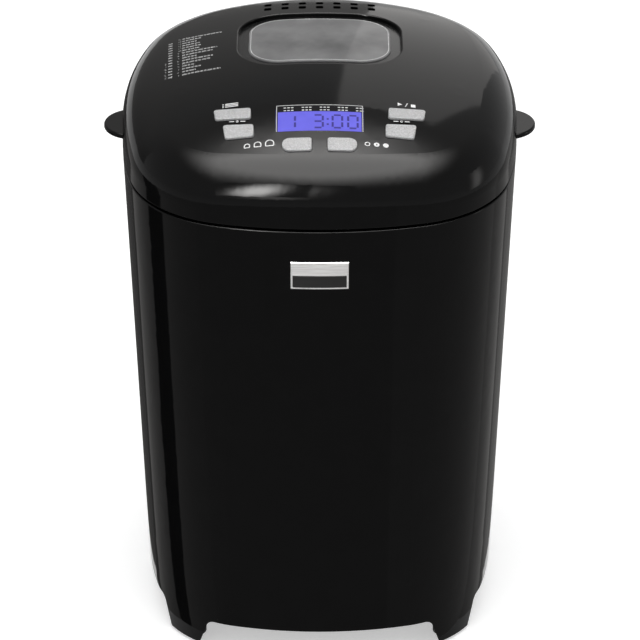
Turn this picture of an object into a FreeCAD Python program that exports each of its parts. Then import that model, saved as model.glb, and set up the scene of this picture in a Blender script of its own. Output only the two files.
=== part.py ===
import FreeCAD, Part
import math
import os

# Bread machine with a tall tapered body and a domed lid that carries the controls.
# Millimetres, +Z up. While the pieces are drawn the middle of the plan is at x = y = 0 and the front
# faces -Y. On saving, everything moves forward by half of what the hinge stands out behind, so that the
# origin lies on the floor under the middle of the whole machine.

V = FreeCAD.Vector

# Outer plan: a rounded square with bowed sides
plan_half = 116.0
overall_height = 357.0
corner_inset = 46.4
side_bow = 125.6
floor_draft = 10.0
lid_rise = 55.8
seam_gap = 1.6
corner_radius = plan_half - corner_inset
side_radius = plan_half + side_bow
floor_half = plan_half - floor_draft
seam_height = overall_height - lid_rise

# Clearances
press_clear = 0.03
running_clear = 0.06
slip_clear = 0.4
touch_gap = 0.2

# Body shell
body_wall = 2.6
rim_round = 0.7
foot_lift = 2.0
arch_height = 20.6
arch_top_half = plan_half - 48.6
arch_foot_half = plan_half - 42.3
arch_round = 5.0
ledge_width = 3.5
ledge_thick = 3.0
body_boss_radius = 4.5
body_boss_length = 20.0
body_boss_sink = 1.0
slot_end_share = 0.45
vent_slot_width = 3.0
vent_slot_length = 30.0
vent_slot_pitch = 8.0
vent_slot_count = 5
vent_slot_start = 24.0
vent_slot_height = 65.0

# Base plate, feet and chassis
base_height = 22.0
base_thick = 3.0
base_vent_width = 4.0
base_vent_length = 46.0
base_vent_pitch = 10.0
base_vent_count = 7
foot_post_radius = 4.6
foot_pad_radius = 6.6
foot_pad_floor = 4.0
foot_pad_height = 10.0
foot_pad_chamfer = 1.0
standoff_radius = 3.0
standoff_inset = 4.5
standoff_height = 5.0
chassis_thick = 2.5
chassis_half = plan_half - 22.0
chassis_post_radius = 5.0
chassis_post_reach = plan_half - 54.0
motor_post_x = 8.0
motor_post_y = plan_half - 32.0
screw_radius = 1.5
screw_head_radius = 3.2
screw_head_height = 2.2
screw_bite = 8.0
screw_hole_spare = 1.0

# Oven chamber and deck
chamber_half = plan_half - 28.0
chamber_corner = corner_radius - 24.6
chamber_side = chamber_half + 312.0
chamber_floor = 92.0
chamber_sheet = 0.8
chamber_flange = 7.0
deck_top = seam_height - 5.2
deck_thick = 3.0
deck_gap = 1.0

# Heating element, its clips, the sensor and the fuse
heater_half = chamber_half - 10.0
heater_corner = chamber_corner - 5.0
heater_radius = 3.25
heater_height = 120.0
heater_end_half = 14.0
heater_end_bend = 10.0
heater_end_reach = 10.0
clip_width = 8.0
clip_wall = 2.4
sensor_radius = 2.5
sensor_collar = 5.0
sensor_height = 150.0
sensor_inside = 12.0
sensor_outside = 9.0
fuse_radius = 3.0
fuse_length = 20.0

# Pan, its base ring and the socket that it twists into
pan_top_half = chamber_half - 22.0
pan_bottom_half = pan_top_half - 4.0
pan_corner = pan_top_half - 26.0
pan_side = pan_top_half + 74.0
pan_floor = 108.0
pan_top = deck_top - 42.0
pan_wall = 1.3
pan_base_round = 8.0
pan_rim_width = 3.0
pan_rim_height = 2.6
pan_rim_round = 1.0
ring_radius = 38.0
ring_wall = 4.0
ring_tab_rise = 5.0
ring_tab_reach = 2.6
ring_tab_height = 4.6
lug_height = 3.0
lug_angle = 24.0
tab_angle = 20.0
bayonet_count = 3
socket_wall = 5.0
socket_flange = 6.0
socket_flange_thick = 2.5

# Pan handle
handle_wire = 2.0
handle_reach = pan_top_half - 8.0
handle_bend = 4.0
handle_corner = 14.0
ear_thick = 3.0
ear_radius = 6.0
ear_root = 8.0

# Drive line
shaft_radius = 4.0
shaft_tail = 2.0
shaft_chamfer = 0.6
bearing_radius = 11.0
bearing_bottom = 60.0
bearing_flange = 20.0
bearing_flange_thick = 3.0
pulley_radius = 36.0
pulley_flange = 3.0
pulley_flange_thick = 1.5
pulley_bottom = 44.0
belt_width = 8.0
belt_thick = 2.0
belt_clear = 0.3
pulley_rim = 3.0
pulley_hub_radius = 8.0
pulley_hole_radius = 7.0
pulley_hole_reach = 22.0
pulley_hole_count = 6
motor_pulley_radius = 9.0
motor_x = plan_half - 60.0
motor_y = plan_half - 64.0
motor_radius = 30.0
motor_height = 24.0
motor_flange_radius = 35.0
motor_flange_thick = 3.0
motor_bell_radius = 25.0
motor_bell_height = 6.0
motor_shaft_radius = 3.0
motor_bracket_half = 38.0
motor_bracket_thick = 2.5
motor_screw_count = 3
motor_screw_reach = 32.0
motor_screw_turn = 45.0
fan_radius = 24.0
fan_hub_radius = 7.0
fan_height = 9.0
fan_blades = 8
fan_blade_thick = 1.4
fan_blade_pitch = 35.0
coupling_gap = 1.7
coupling_radius = 12.0
coupling_thick = 4.0
coupling_pin_radius = 2.5
coupling_pin_reach = 8.0
coupling_pin_height = 6.5
coupling_bar_width = 6.0
coupling_bar_thick = 6.0
coupling_hub_wall = 1.4
bush_radius = 9.0
bush_flange = 4.0
bush_flange_thick = 1.8
bush_rise = 2.0
pan_shaft_rise = 20.0
shaft_flat = 1.0
paddle_hub_radius = 8.0
paddle_hub_height = 24.0
paddle_reach = 46.0
paddle_height = 30.0
paddle_thick = 4.0
paddle_tip_lean = 0.9
paddle_tip_height = 0.6
paddle_crest = 0.45
paddle_hub_round = 4.8

# Electrics in the base
board_thick = 1.6
board_corner = 3.0
power_board_width = 48.0
power_board_length = 2 * (chassis_post_reach - 12.0)
power_board_x = 48.0 - plan_half
transformer_width = 32.0
transformer_depth = 28.0
transformer_height = 26.0
transformer_core_depth = 16.8
transformer_coil_width = 19.2
transformer_coil_height = 16.6
transformer_coil_lift = 4.7
transformer_corner = 1.0
relay_width = 16.0
relay_depth = 20.0
relay_height = 15.0
relay_edge = 0.8
capacitor_radius = 6.0
capacitor_height = 18.0
capacitor_edge = 1.0
transformer_gap = 5.0
relay_gap = 9.0
gland_height = 66.0
gland_radius = 7.0
gland_flange = 3.0
gland_flange_thick = 2.5
gland_bore = 3.5
gland_inside = 6.0

# Lid
lid_wall = 2.6
lid_draft = 0.9
crown_radius = 340.0
crown_setback = 10.0
shoulder_radius = 28.0
tab_reach = plan_half + 11.0
tab_half = 17.0
tab_root = plan_half - 2.0
tab_height = seam_height + 8.6
tab_thick = 3.2
tab_round = 1.2
liner_height = seam_height + 17.8
liner_thick = 2.0
liner_clear = 0.5
lid_boss_radius = 4.0
lid_boss_front_x = plan_half - 36.0
lid_boss_front_y = -28.0
lid_boss_rear_x = plan_half - 52.0
lid_boss_rear_y = plan_half - 46.0

# Window
window_front = -13.0
window_rear = plan_half - 54.0
window_width = 2 * plan_half - 136.0
window_depth = window_rear - window_front
window_corner = 26.0
window_y = (window_rear + window_front) / 2
window_edge_round = 0.8
glass_margin = 6.2
glass_thick = 3.0
glass_proud = 0.9
glass_edge_round = 0.6
frame_grip = 5.0
frame_thick = 4.6
frame_sight = 3.0
inner_pane_lap = 4.0
inner_pane_thick = 3.0

# Vents in the lid
lid_vent_width = 4.4
lid_vent_length = 6.0
lid_vent_pitch = 10.4
lid_vent_count = 7
lid_vent_rear = plan_half - 32.0
lid_vent_front = plan_half - 42.0
lid_vent_round = 1.2

# Hinge
barrel_radius = 4.5
hinge_gap = 0.5
hinge_pin_radius = 2.0
knuckle_start = 14.0
knuckle_width = 9.0
lid_knuckle_width = 17.0
knuckle_gap = 0.4
knuckle_web = 18.0

# Controls
display_half = 25.0
display_rear = 61.1 - plan_half
display_front = 37.5 - plan_half
display_corner = 1.5
lens_thick = 2.0
lens_sink = 0.3
module_half = 27.0
module_depth = 24.0
module_corner = 1.0
button_proud = 1.1
button_gap = 0.35
button_edge = 0.45
button_corner = 1.6
button_flange = 1.5
button_flange_thick = 1.2
button_travel = 1.2
flange_drop = 0.4
switch_half = 3.0
switch_corner = 0.6
switch_gap = 0.3
control_depth = 14.0
control_y = 44.0 - plan_half
control_rear_half = 64.0
control_front_half = 44.0
control_rear = 22.0
control_front = -24.0
control_boss_radius = 3.0
control_boss_x = 31.4
control_boss_rear = 17.5
control_boss_front = -15.5

# Button outlines on the left side: x, then the distance back from the front edge. The right side mirrors them
menu_corners = [(-60.7, 61.6), (-59.4, 52.7), (-39.0, 50.8), (-39.1, 60.0)]
time_corners = [(-55.2, 47.3), (-53.4, 35.5), (-37.2, 35.5), (-37.4, 45.6)]
loaf_corners = [(-21.2, 32.0), (-21.2, 21.9), (-4.4, 21.9), (-4.4, 32.0)]
loaf_end_round = 4.6

# Heights and places that follow
body_top = seam_height - seam_gap / 2
lid_bottom = seam_height + seam_gap / 2
base_top = base_height + base_thick
chassis_bottom = chamber_floor - chassis_thick
deck_bottom = deck_top - deck_thick
chamber_inner_floor = chamber_floor + chamber_sheet
crown_centre = V(0, crown_setback, overall_height - crown_radius)
liner_top = liner_height + liner_thick
hinge_y = plan_half + hinge_gap + barrel_radius
setback = (hinge_y + barrel_radius - plan_half) / 2
pulley_height = belt_width + 2 * (belt_clear + pulley_flange_thick)
pulley_top = pulley_bottom + pulley_height
belt_bottom = pulley_bottom + pulley_flange_thick + belt_clear
motor_top = chassis_bottom - motor_bracket_thick
motor_bottom = motor_top - motor_height
coupling_bottom = chamber_inner_floor + coupling_gap
coupling_top = coupling_bottom + coupling_thick
bar_bottom = coupling_top + touch_gap
handle_pivot = pan_top + handle_wire + slip_clear
flange_top = lid_wall + flange_drop
flange_bottom = flange_top + button_flange_thick
switch_top = flange_bottom + button_travel + switch_gap
ring_bottom = chamber_inner_floor + touch_gap
ring_tab_bottom = ring_bottom + ring_tab_rise
lug_bottom = ring_tab_bottom + ring_tab_height + slip_clear
socket_top = lug_bottom + lug_height
socket_inner = ring_radius + ring_tab_reach + slip_clear
glass_inset = lid_wall - glass_proud


def save(name, *solids):
    """Write one node, moved so that the origin is under the middle of the whole machine."""
    shape = solids[0] if len(solids) == 1 else Part.makeCompound(list(solids))
    shape = shape.copy()
    shape.translate(V(0, -setback, 0))
    shape.exportStep("parts/%s.step" % name)


def box(x0, x1, y0, y1, z0, z1):
    return Part.makeBox(x1 - x0, y1 - y0, z1 - z0, V(x0, y0, z0))


def rod(radius, z0, z1, x=0.0, y=0.0):
    return Part.makeCylinder(radius, z1 - z0, V(x, y, z0))


def tube(outer, inner, z0, z1, x=0.0, y=0.0):
    return rod(outer, z0, z1, x, y).cut(rod(inner, z0, z1, x, y))


def sector(inner, outer, z0, z1, middle, span):
    """Part of a ring, span degrees wide about the middle angle."""
    wedge = Part.makeCylinder(outer, z1 - z0, V(0, 0, z0), V(0, 0, 1), span)
    wedge = wedge.cut(rod(inner, z0, z1))
    wedge.rotate(V(0, 0, 0), V(0, 0, 1), middle - span / 2)
    return wedge


def outline(half, corner, side, z):
    """Rounded square with bowed sides: eight tangent arcs."""
    drop = half - side
    centre = (drop + math.sqrt(2 * (side - corner) ** 2 - drop ** 2)) / 2
    swing = math.atan2(drop - centre, centre)

    def on_side(angle):
        return V(side * math.cos(angle), side * math.sin(angle) - drop, z)

    def on_corner(angle):
        return V(centre + corner * math.cos(angle), corner * math.sin(angle) - centre, z)

    edges = []
    for quarter in range(4):
        turn = FreeCAD.Rotation(V(0, 0, 1), 90 * quarter)
        side_points = [on_side(a) for a in (math.pi - swing, -math.pi / 2, swing)]
        corner_points = [on_corner(a) for a in (swing, -math.pi / 4, -math.pi / 2 - swing)]
        for points in (side_points, corner_points):
            start, middle, end = [turn.multVec(p) for p in points]
            edges.append(Part.Arc(start, middle, end).toShape())
    return Part.Wire(edges)


def prism(wire, height):
    return Part.Face(wire).extrude(V(0, 0, height))


def taper(low, high):
    return Part.makeLoft([low, high], True, True)


def rounded(corners, radius, z=0.0, grow=0.0):
    """Convex outline with round corners; radius is one value or one for each corner."""
    count = len(corners)
    radii = radius if isinstance(radius, list) else [radius] * count
    bends = []
    for i in range(count):
        here = V(corners[i][0], corners[i][1], z)
        before = (V(corners[i - 1][0], corners[i - 1][1], z) - here).normalize()
        after = corners[(i + 1) % count]
        after = (V(after[0], after[1], z) - here).normalize()
        half_angle = before.getAngle(after) / 2
        inward = (before + after).normalize()
        here = here - inward * (grow / math.sin(half_angle))
        bend = radii[i] + grow
        run = bend / math.tan(half_angle)
        middle = here + inward * (bend / math.sin(half_angle) - bend)
        bends.append((here + before * run, middle, here + after * run))
    edges = []
    for i in range(count):
        start, middle, end = bends[i]
        edges.append(Part.Arc(start, middle, end).toShape())
        edges.append(Part.LineSegment(end, bends[(i + 1) % count][0]).toShape())
    return Part.Wire(edges)


def rectangle(width, depth, radius, z, x=0.0, y=0.0, grow=0.0):
    w = width / 2
    d = depth / 2
    corners = [(x - w, y - d), (x + w, y - d), (x + w, y + d), (x - w, y + d)]
    return rounded(corners, radius, z, grow)


def edges_at(shape, z):
    """Edges that lie in the level plane at z."""
    found = []
    for edge in shape.Edges:
        if all(abs(p.z - z) < 1e-4 for p in edge.discretize(3)):
            found.append(edge)
    return found


def profile_x(points, x0, x1):
    """Prism along X with its outline given in Y and Z."""
    face = Part.Face(Part.makePolygon([V(x0, y, z) for y, z in points + points[:1]]))
    return face.extrude(V(x1 - x0, 0, 0))


def quarter_turns(shape):
    copies = []
    for quarter in range(4):
        copy = shape.copy()
        copy.rotate(V(0, 0, 0), V(0, 0, 1), 90 * quarter)
        copies.append(copy)
    return copies


def mirror_x(shape):
    return shape.mirror(V(0, 0, 0), V(1, 0, 0))


# Body shell


def body_half(z):
    return floor_half + (plan_half - floor_half) * z / seam_height


def body_outline(z, inset=0.0):
    scale = body_half(z) / plan_half
    return outline(plan_half * scale - inset, corner_radius * scale - inset, side_radius * scale - inset, z)


def body_block(z0, z1, inset=0.0):
    return taper(body_outline(z0, inset), body_outline(z1, inset))


def body_boss_y():
    return body_half(base_top) - body_wall - body_boss_radius + body_boss_sink


def hinge_barrel(x0, x1):
    return Part.makeCylinder(barrel_radius, x1 - x0, V(x0, hinge_y, seam_height), V(1, 0, 0))


def hinge_hole(radius):
    reach = 2 * plan_half
    return Part.makeCylinder(radius, reach, V(-reach / 2, hinge_y, seam_height), V(1, 0, 0))


def body_knuckle_spans():
    near = knuckle_start
    far = near + knuckle_width + lid_knuckle_width + 2 * knuckle_gap
    spans = []
    for start in (near, far):
        spans.append((start, start + knuckle_width))
        spans.append((-start - knuckle_width, -start))
    return spans


def lid_knuckle_spans():
    start = knuckle_start + knuckle_width + knuckle_gap
    return [(start, start + lid_knuckle_width), (-start - lid_knuckle_width, -start)]


def body_knuckle(x0, x1):
    """Hinge barrel on a web that runs down into the rear wall."""
    inside = plan_half - 4 * body_wall
    low = seam_height - knuckle_web
    web = [(inside, body_top), (hinge_y, body_top), (hinge_y + barrel_radius, seam_height),
           (hinge_y + barrel_radius, seam_height - barrel_radius), (inside + body_wall, low), (inside, low)]
    return profile_x(web, x0, x1).fuse(hinge_barrel(x0, x1))


def leg_arch():
    """Opening under the front edge between two legs."""
    below = -arch_height
    spread = (arch_foot_half - arch_top_half) * (arch_height - below) / arch_height
    foot = arch_top_half + spread
    corners = [(-arch_top_half, arch_height), (-foot, below), (foot, below), (arch_top_half, arch_height)]
    arch = prism(rounded(corners, arch_round), plan_half)
    arch.rotate(V(0, 0, 0), V(1, 0, 0), 90)
    arch.translate(V(0, -floor_half / 2, 0))
    return arch


def body_shell():
    outer = body_block(foot_lift, body_top)
    outer = outer.makeFillet(rim_round, edges_at(outer, body_top))
    for x0, x1 in body_knuckle_spans():
        outer = outer.fuse(body_knuckle(x0, x1))
    shell = outer.cut(body_block(0, body_top + foot_lift, body_wall))
    shell = shell.cut(hinge_hole(hinge_pin_radius + press_clear))
    ledge = body_block(deck_bottom - ledge_thick, deck_bottom, body_wall / 2)
    ledge = ledge.cut(body_block(deck_bottom - 2 * ledge_thick, deck_top, body_wall + ledge_width))
    shell = shell.fuse(ledge)
    boss = rod(body_boss_radius, base_top, base_top + body_boss_length, 0, -body_boss_y())
    hole_top = base_top + screw_bite + screw_hole_spare
    hole = rod(screw_radius + press_clear, base_top, hole_top, 0, -body_boss_y())
    for copy in quarter_turns(boss.common(body_block(foot_lift, body_top, body_wall / 2))):
        shell = shell.fuse(copy)
    for copy in quarter_turns(hole) + quarter_turns(leg_arch()):
        shell = shell.cut(copy)
    for i in range(vent_slot_count):
        x = vent_slot_start + i * vent_slot_pitch
        end_round = slot_end_share * vent_slot_width
        slot = prism(rectangle(vent_slot_width, vent_slot_length, end_round, 0, x), plan_half)
        slot.rotate(V(0, 0, 0), V(1, 0, 0), 90)
        slot.translate(V(0, 1.5 * plan_half, vent_slot_height))
        shell = shell.cut(slot).cut(mirror_x(slot))
    shell = shell.cut(on_rear_wall(gland_rod(gland_radius + slip_clear, -2 * body_wall, body_wall)))
    return shell.removeSplitter()


# Cord gland in the rear wall


def on_rear_wall(shape):
    """Place a shape, drawn along +Z outward, on the rear wall at the gland's height."""
    lean = math.atan2(plan_half - floor_half, seam_height)
    normal = V(0, math.cos(lean), -math.sin(lean))
    turn = FreeCAD.Rotation(V(-1, 0, 0), V(0, 0, 1), normal, "ZXY")
    placed = shape.copy()
    placed.Placement = FreeCAD.Placement(V(0, body_half(gland_height), gland_height), turn)
    return placed


def gland_rod(radius, z0, z1):
    """Rod drawn at the origin so that its placing carries its length."""
    face = Part.Face(Part.Wire(Part.makeCircle(radius, V(0, 0, z0))))
    return face.extrude(V(0, 0, z1 - z0))


def cord_gland():
    outside = touch_gap + gland_flange_thick
    inside = -body_wall - gland_inside
    gland = gland_rod(gland_radius, inside, outside)
    gland = gland.fuse(gland_rod(gland_radius + gland_flange, touch_gap, outside))
    nut_top = -body_wall - 2 * touch_gap
    gland = gland.fuse(gland_rod(gland_radius + gland_flange, inside, nut_top))
    return on_rear_wall(gland.cut(gland_rod(gland_bore, inside, outside)))


# Base plate, feet, chassis


def foot_places():
    """The four leg corners, each far enough in to clear the leg's wall."""
    scale = body_half(foot_pad_height) / plan_half
    half = plan_half * scale
    side = side_radius * scale
    corner = corner_radius * scale
    drop = half - side
    centre = (drop + math.sqrt(2 * (side - corner) ** 2 - drop ** 2)) / 2
    reach = centre + (corner - body_wall - foot_pad_radius - 2 * slip_clear) * math.sqrt(0.5)
    return [(sx * reach, sy * reach) for sx in (-1, 1) for sy in (-1, 1)]


def standoff_places():
    x = power_board_width / 2 - standoff_inset
    y = power_board_length / 2 - standoff_inset
    return [(power_board_x + sx * x, sy * y) for sx in (-1, 1) for sy in (-1, 1)]


def base_plate():
    plate = body_block(base_height, base_top, body_wall + slip_clear)
    for i in range(base_vent_count):
        x = (i - (base_vent_count - 1) / 2) * base_vent_pitch
        end_round = slot_end_share * base_vent_width
        slot = prism(rectangle(base_vent_width, base_vent_length, end_round, base_height, x), base_thick)
        plate = plate.cut(slot)
    for x, y in foot_places():
        plate = plate.fuse(rod(foot_post_radius, foot_pad_floor, base_height, x, y))
    for x, y in standoff_places():
        plate = plate.fuse(rod(standoff_radius, base_top, base_top + standoff_height, x, y))
    hole = rod(screw_radius + slip_clear, base_height, base_top, 0, -body_boss_y())
    for copy in quarter_turns(hole):
        plate = plate.cut(copy)
    return plate


def rubber_feet():
    pads = []
    for x, y in foot_places():
        pad = rod(foot_pad_radius, 0, foot_pad_height, x, y)
        pad = pad.makeChamfer(foot_pad_chamfer, edges_at(pad, 0))
        pads.append(pad.cut(rod(foot_post_radius + press_clear, foot_pad_floor, foot_pad_height, x, y)))
    return pads


def screw(seat, up, x, y):
    """Pan head screw whose head sits under the level seat and whose shank points up."""
    shank = rod(screw_radius, seat, seat + up, x, y)
    head = rod(screw_head_radius, seat - screw_head_height, seat, x, y)
    head = head.makeFillet(screw_head_height / 2, edges_at(head, seat - screw_head_height))
    return head.fuse(shank)


def base_screws():
    return quarter_turns(screw(base_height, base_thick + screw_bite, 0, -body_boss_y()))


def motor_screw_places():
    places = []
    for i in range(motor_screw_count):
        angle = math.radians(motor_screw_turn + 360 * i / motor_screw_count)
        places.append((motor_x + motor_screw_reach * math.cos(angle),
                       motor_y + motor_screw_reach * math.sin(angle)))
    return places


def chassis_plate():
    scale = chassis_half / plan_half
    wire = outline(chassis_half, corner_radius * scale, side_radius * scale, chassis_bottom)
    plate = prism(wire, chassis_thick)
    plate = plate.cut(rod(bearing_radius + slip_clear, chassis_bottom, chamber_floor))
    for x, y in motor_screw_places():
        plate = plate.cut(rod(screw_radius + press_clear, chassis_bottom, chamber_floor, x, y))
    return plate


def chassis_posts():
    """Three corner posts and one beside the motor."""
    reach = chassis_post_reach
    places = [(-reach, -reach), (reach, -reach), (-reach, reach), (motor_post_x, motor_post_y)]
    return [rod(chassis_post_radius, base_top, chassis_bottom, x, y) for x, y in places]


# Oven chamber, deck and what hangs in the chamber


def chamber_outline(z, grow=0.0):
    return outline(chamber_half + grow, chamber_corner + grow, chamber_side + grow, z)


def rod_y(radius, y0, y1, x, z):
    return Part.makeCylinder(radius, y1 - y0, V(x, y0, z), V(0, 1, 0))


def oven_chamber():
    top = deck_top + chamber_sheet
    chamber = prism(chamber_outline(chamber_floor), top - chamber_floor)
    chamber = chamber.fuse(prism(chamber_outline(deck_top, chamber_flange), chamber_sheet))
    chamber = chamber.cut(prism(chamber_outline(chamber_inner_floor, -chamber_sheet), top))
    chamber = chamber.cut(rod(bearing_radius + slip_clear, chamber_floor, chamber_inner_floor))
    for x in (-heater_end_half, heater_end_half):
        hole = rod_y(heater_radius + slip_clear, heater_half, 2 * chamber_half, x, heater_height)
        chamber = chamber.cut(hole)
    return chamber.cut(rod_y(sensor_radius + slip_clear, -2 * chamber_half, -heater_half, 0, sensor_height))


def top_deck():
    deck = body_block(deck_bottom, deck_top, body_wall + slip_clear)
    return deck.cut(prism(chamber_outline(deck_bottom, deck_gap), deck_thick))


def heating_element():
    """One tube round the chamber whose two ends bend out through the rear wall."""
    half = heater_half
    corner = half - heater_corner
    end = heater_end_half
    bend = heater_end_bend
    out = chamber_half + heater_end_reach
    z = heater_height

    def arc(cx, cy, radius, start, stop):
        points = []
        for angle in (start, (start + stop) / 2, stop):
            turn = math.radians(angle)
            points.append(V(cx + radius * math.cos(turn), cy + radius * math.sin(turn), z))
        return Part.Arc(*points).toShape()

    def line(x0, y0, x1, y1):
        return Part.LineSegment(V(x0, y0, z), V(x1, y1, z)).toShape()

    path = [line(-end, out, -end, half + bend), arc(-end - bend, half + bend, bend, 0, -90),
            line(-end - bend, half, -corner, half), arc(-corner, corner, heater_corner, 90, 180),
            line(-half, corner, -half, -corner), arc(-corner, -corner, heater_corner, 180, 270),
            line(-corner, -half, corner, -half), arc(corner, -corner, heater_corner, 270, 360),
            line(half, -corner, half, corner), arc(corner, corner, heater_corner, 0, 90),
            line(corner, half, end + bend, half), arc(end + bend, half + bend, bend, 270, 180),
            line(end, half + bend, end, out)]
    section = Part.Wire(Part.makeCircle(heater_radius, V(-end, out, z), V(0, 1, 0)))
    return Part.Wire(path).makePipeShell([section], True, False)


def heater_clips():
    """Saddles between the chamber wall and the element, left, right and front."""
    wall = chamber_half - chamber_sheet - touch_gap
    reach = heater_radius + touch_gap + clip_wall
    block = box(heater_half - reach, wall, -clip_width / 2, clip_width / 2,
                heater_height - reach, heater_height + reach)
    bore = rod_y(heater_radius + touch_gap, -clip_width, clip_width, heater_half, heater_height)
    clip = block.cut(bore)
    clips = []
    for angle in (0, 180, 270):
        copy = clip.copy()
        copy.rotate(V(0, 0, 0), V(0, 0, 1), angle)
        clips.append(copy)
    return clips


def temperature_sensor():
    inner_end = -(chamber_half - sensor_inside)
    outer_end = -(chamber_half + sensor_outside)
    probe = rod_y(sensor_radius, outer_end, inner_end, 0, sensor_height)
    collar_face = -(chamber_half + touch_gap)
    return probe.fuse(rod_y(sensor_collar, collar_face - clip_wall, collar_face, 0, sensor_height))


def thermal_fuse():
    """Small fuse in a clip that lies against the left wall of the chamber."""
    x = -(chamber_half + touch_gap + clip_wall + fuse_radius)
    low = sensor_height - fuse_length / 2
    fuse = rod(fuse_radius, low, low + fuse_length, x, 0)
    clip_top = low + fuse_length - clip_wall
    clip = box(x, -chamber_half - touch_gap, -fuse_radius, fuse_radius, low + clip_wall, clip_top)
    return fuse.fuse(clip)


# Pan and socket


def pan_socket():
    outer = socket_inner + socket_wall
    ring = tube(outer, socket_inner, chamber_inner_floor, socket_top)
    ring = ring.fuse(tube(outer + socket_flange, socket_inner, chamber_inner_floor,
                          chamber_inner_floor + socket_flange_thick))
    for i in range(bayonet_count):
        turn = 360 * i / bayonet_count
        root = socket_inner + socket_wall / 2
        ring = ring.fuse(sector(ring_radius + slip_clear, root, lug_bottom, socket_top, turn, lug_angle))
    return ring


def pan_base_ring():
    ring = tube(ring_radius, ring_radius - ring_wall, ring_bottom, pan_floor)
    for i in range(bayonet_count):
        ring = ring.fuse(sector(ring_radius - ring_wall / 2, ring_radius + ring_tab_reach, ring_tab_bottom,
                                ring_tab_bottom + ring_tab_height, 360 * i / bayonet_count, tab_angle))
    return ring


def pan_block(z0, z1, inset=0.0):
    def at(z):
        half = pan_bottom_half + (pan_top_half - pan_bottom_half) * (z - pan_floor) / (pan_top - pan_floor)
        shift = half - pan_top_half - inset
        return outline(pan_top_half + shift, pan_corner + shift, pan_side + shift, z)
    return taper(at(z0), at(z1))


def pan_ear():
    """Round-topped plate on the right rim with room for the hole that the handle hooks into."""
    inner = pan_top_half - ear_thick
    ear = box(inner, pan_top_half, -ear_radius, ear_radius, pan_top - ear_root, handle_pivot)
    return ear.fuse(Part.makeCylinder(ear_radius, ear_thick, V(inner, 0, handle_pivot), V(1, 0, 0)))


def bread_pan():
    outer = pan_block(pan_floor, pan_top)
    outer = outer.makeFillet(pan_base_round, edges_at(outer, pan_floor))
    inner = pan_block(pan_floor + pan_wall, pan_top + pan_rim_height, pan_wall)
    inner = inner.makeFillet(pan_base_round - pan_wall, edges_at(inner, pan_floor + pan_wall))
    rim = prism(outline(pan_top_half + pan_rim_width, pan_corner + pan_rim_width, pan_side + pan_rim_width,
                        pan_top - pan_rim_height), pan_rim_height)
    rim_edges = edges_at(rim, pan_top) + edges_at(rim, pan_top - pan_rim_height)
    rim = rim.makeFillet(pan_rim_round, rim_edges)
    pan = outer.fuse(rim)
    pan = pan.cut(inner)
    ear = pan_ear()
    pan = pan.fuse(ear).fuse(mirror_x(ear))
    reach = 2 * pan_top_half
    pivot_start = V(-reach, 0, handle_pivot)
    pivot = Part.makeCylinder(handle_wire + touch_gap, 2 * reach, pivot_start, V(1, 0, 0))
    pan = pan.cut(pivot)
    return pan.cut(rod(bush_radius + press_clear, pan_floor - 1, pan_floor + 2 * pan_wall))


def pan_handle():
    """Bail of round wire that lies forward on the rim, its ends hooked out through the ears."""
    z = handle_pivot
    leg = pan_top_half - ear_thick - slip_clear - handle_bend
    pin = leg + handle_bend
    tip = pan_top_half + handle_wire / 2
    corner = handle_corner
    root = math.sqrt(0.5)

    def line(x0, y0, x1, y1):
        return Part.LineSegment(V(x0, y0, z), V(x1, y1, z)).toShape()

    def arc(start, middle, end):
        return Part.Arc(V(start[0], start[1], z), V(middle[0], middle[1], z), V(end[0], end[1], z)).toShape()

    path = []
    hook = (leg + handle_bend * (1 - root), -handle_bend * (1 - root))
    turn = (leg - corner * (1 - root), -handle_reach + corner * (1 - root))
    path.append(line(-tip, 0, -pin, 0))
    path.append(arc((-pin, 0), (-hook[0], hook[1]), (-leg, -handle_bend)))
    path.append(line(-leg, -handle_bend, -leg, -handle_reach + corner))
    path.append(arc((-leg, -handle_reach + corner), (-turn[0], turn[1]), (-leg + corner, -handle_reach)))
    path.append(line(-leg + corner, -handle_reach, leg - corner, -handle_reach))
    path.append(arc((leg - corner, -handle_reach), turn, (leg, -handle_reach + corner)))
    path.append(line(leg, -handle_reach + corner, leg, -handle_bend))
    path.append(arc((leg, -handle_bend), hook, (pin, 0)))
    path.append(line(pin, 0, tip, 0))
    section = Part.Wire(Part.makeCircle(handle_wire, V(-tip, 0, z), V(1, 0, 0)))
    return Part.Wire(path).makePipeShell([section], True, False)


# Drive line


def shaft_bearing():
    bearing = rod(bearing_radius, bearing_bottom, chamber_inner_floor + touch_gap)
    bearing = bearing.fuse(rod(bearing_flange, chassis_bottom - bearing_flange_thick, chassis_bottom))
    return bearing.cut(rod(shaft_radius + running_clear, bearing_bottom, chamber_floor * 2))


def drive_shaft():
    low = pulley_bottom - shaft_tail
    shaft = rod(shaft_radius, low, coupling_top)
    return shaft.makeChamfer(shaft_chamfer, edges_at(shaft, low))


def pulley(groove, bore, hub_top):
    """Flat belt pulley with two flanges."""
    shape = rod(groove, pulley_bottom, pulley_top)
    for low in (pulley_bottom, pulley_top - pulley_flange_thick):
        shape = shape.fuse(rod(groove + pulley_flange, low, low + pulley_flange_thick))
    return shape.cut(rod(bore + press_clear, pulley_bottom, hub_top))


def driven_pulley():
    shape = pulley(pulley_radius, shaft_radius, pulley_top)
    dish = pulley_height / 3
    for low in (pulley_bottom, pulley_top - dish):
        shape = shape.cut(tube(pulley_radius - pulley_rim, pulley_hub_radius, low, low + dish))
    for i in range(pulley_hole_count):
        angle = 2 * math.pi * i / pulley_hole_count
        x = pulley_hole_reach * math.cos(angle)
        y = pulley_hole_reach * math.sin(angle)
        shape = shape.cut(rod(pulley_hole_radius, pulley_bottom, pulley_top, x, y))
    return shape


def motor_pulley():
    shape = pulley(motor_pulley_radius, motor_shaft_radius, pulley_top)
    shape.translate(V(motor_x, motor_y, 0))
    return shape


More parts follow.
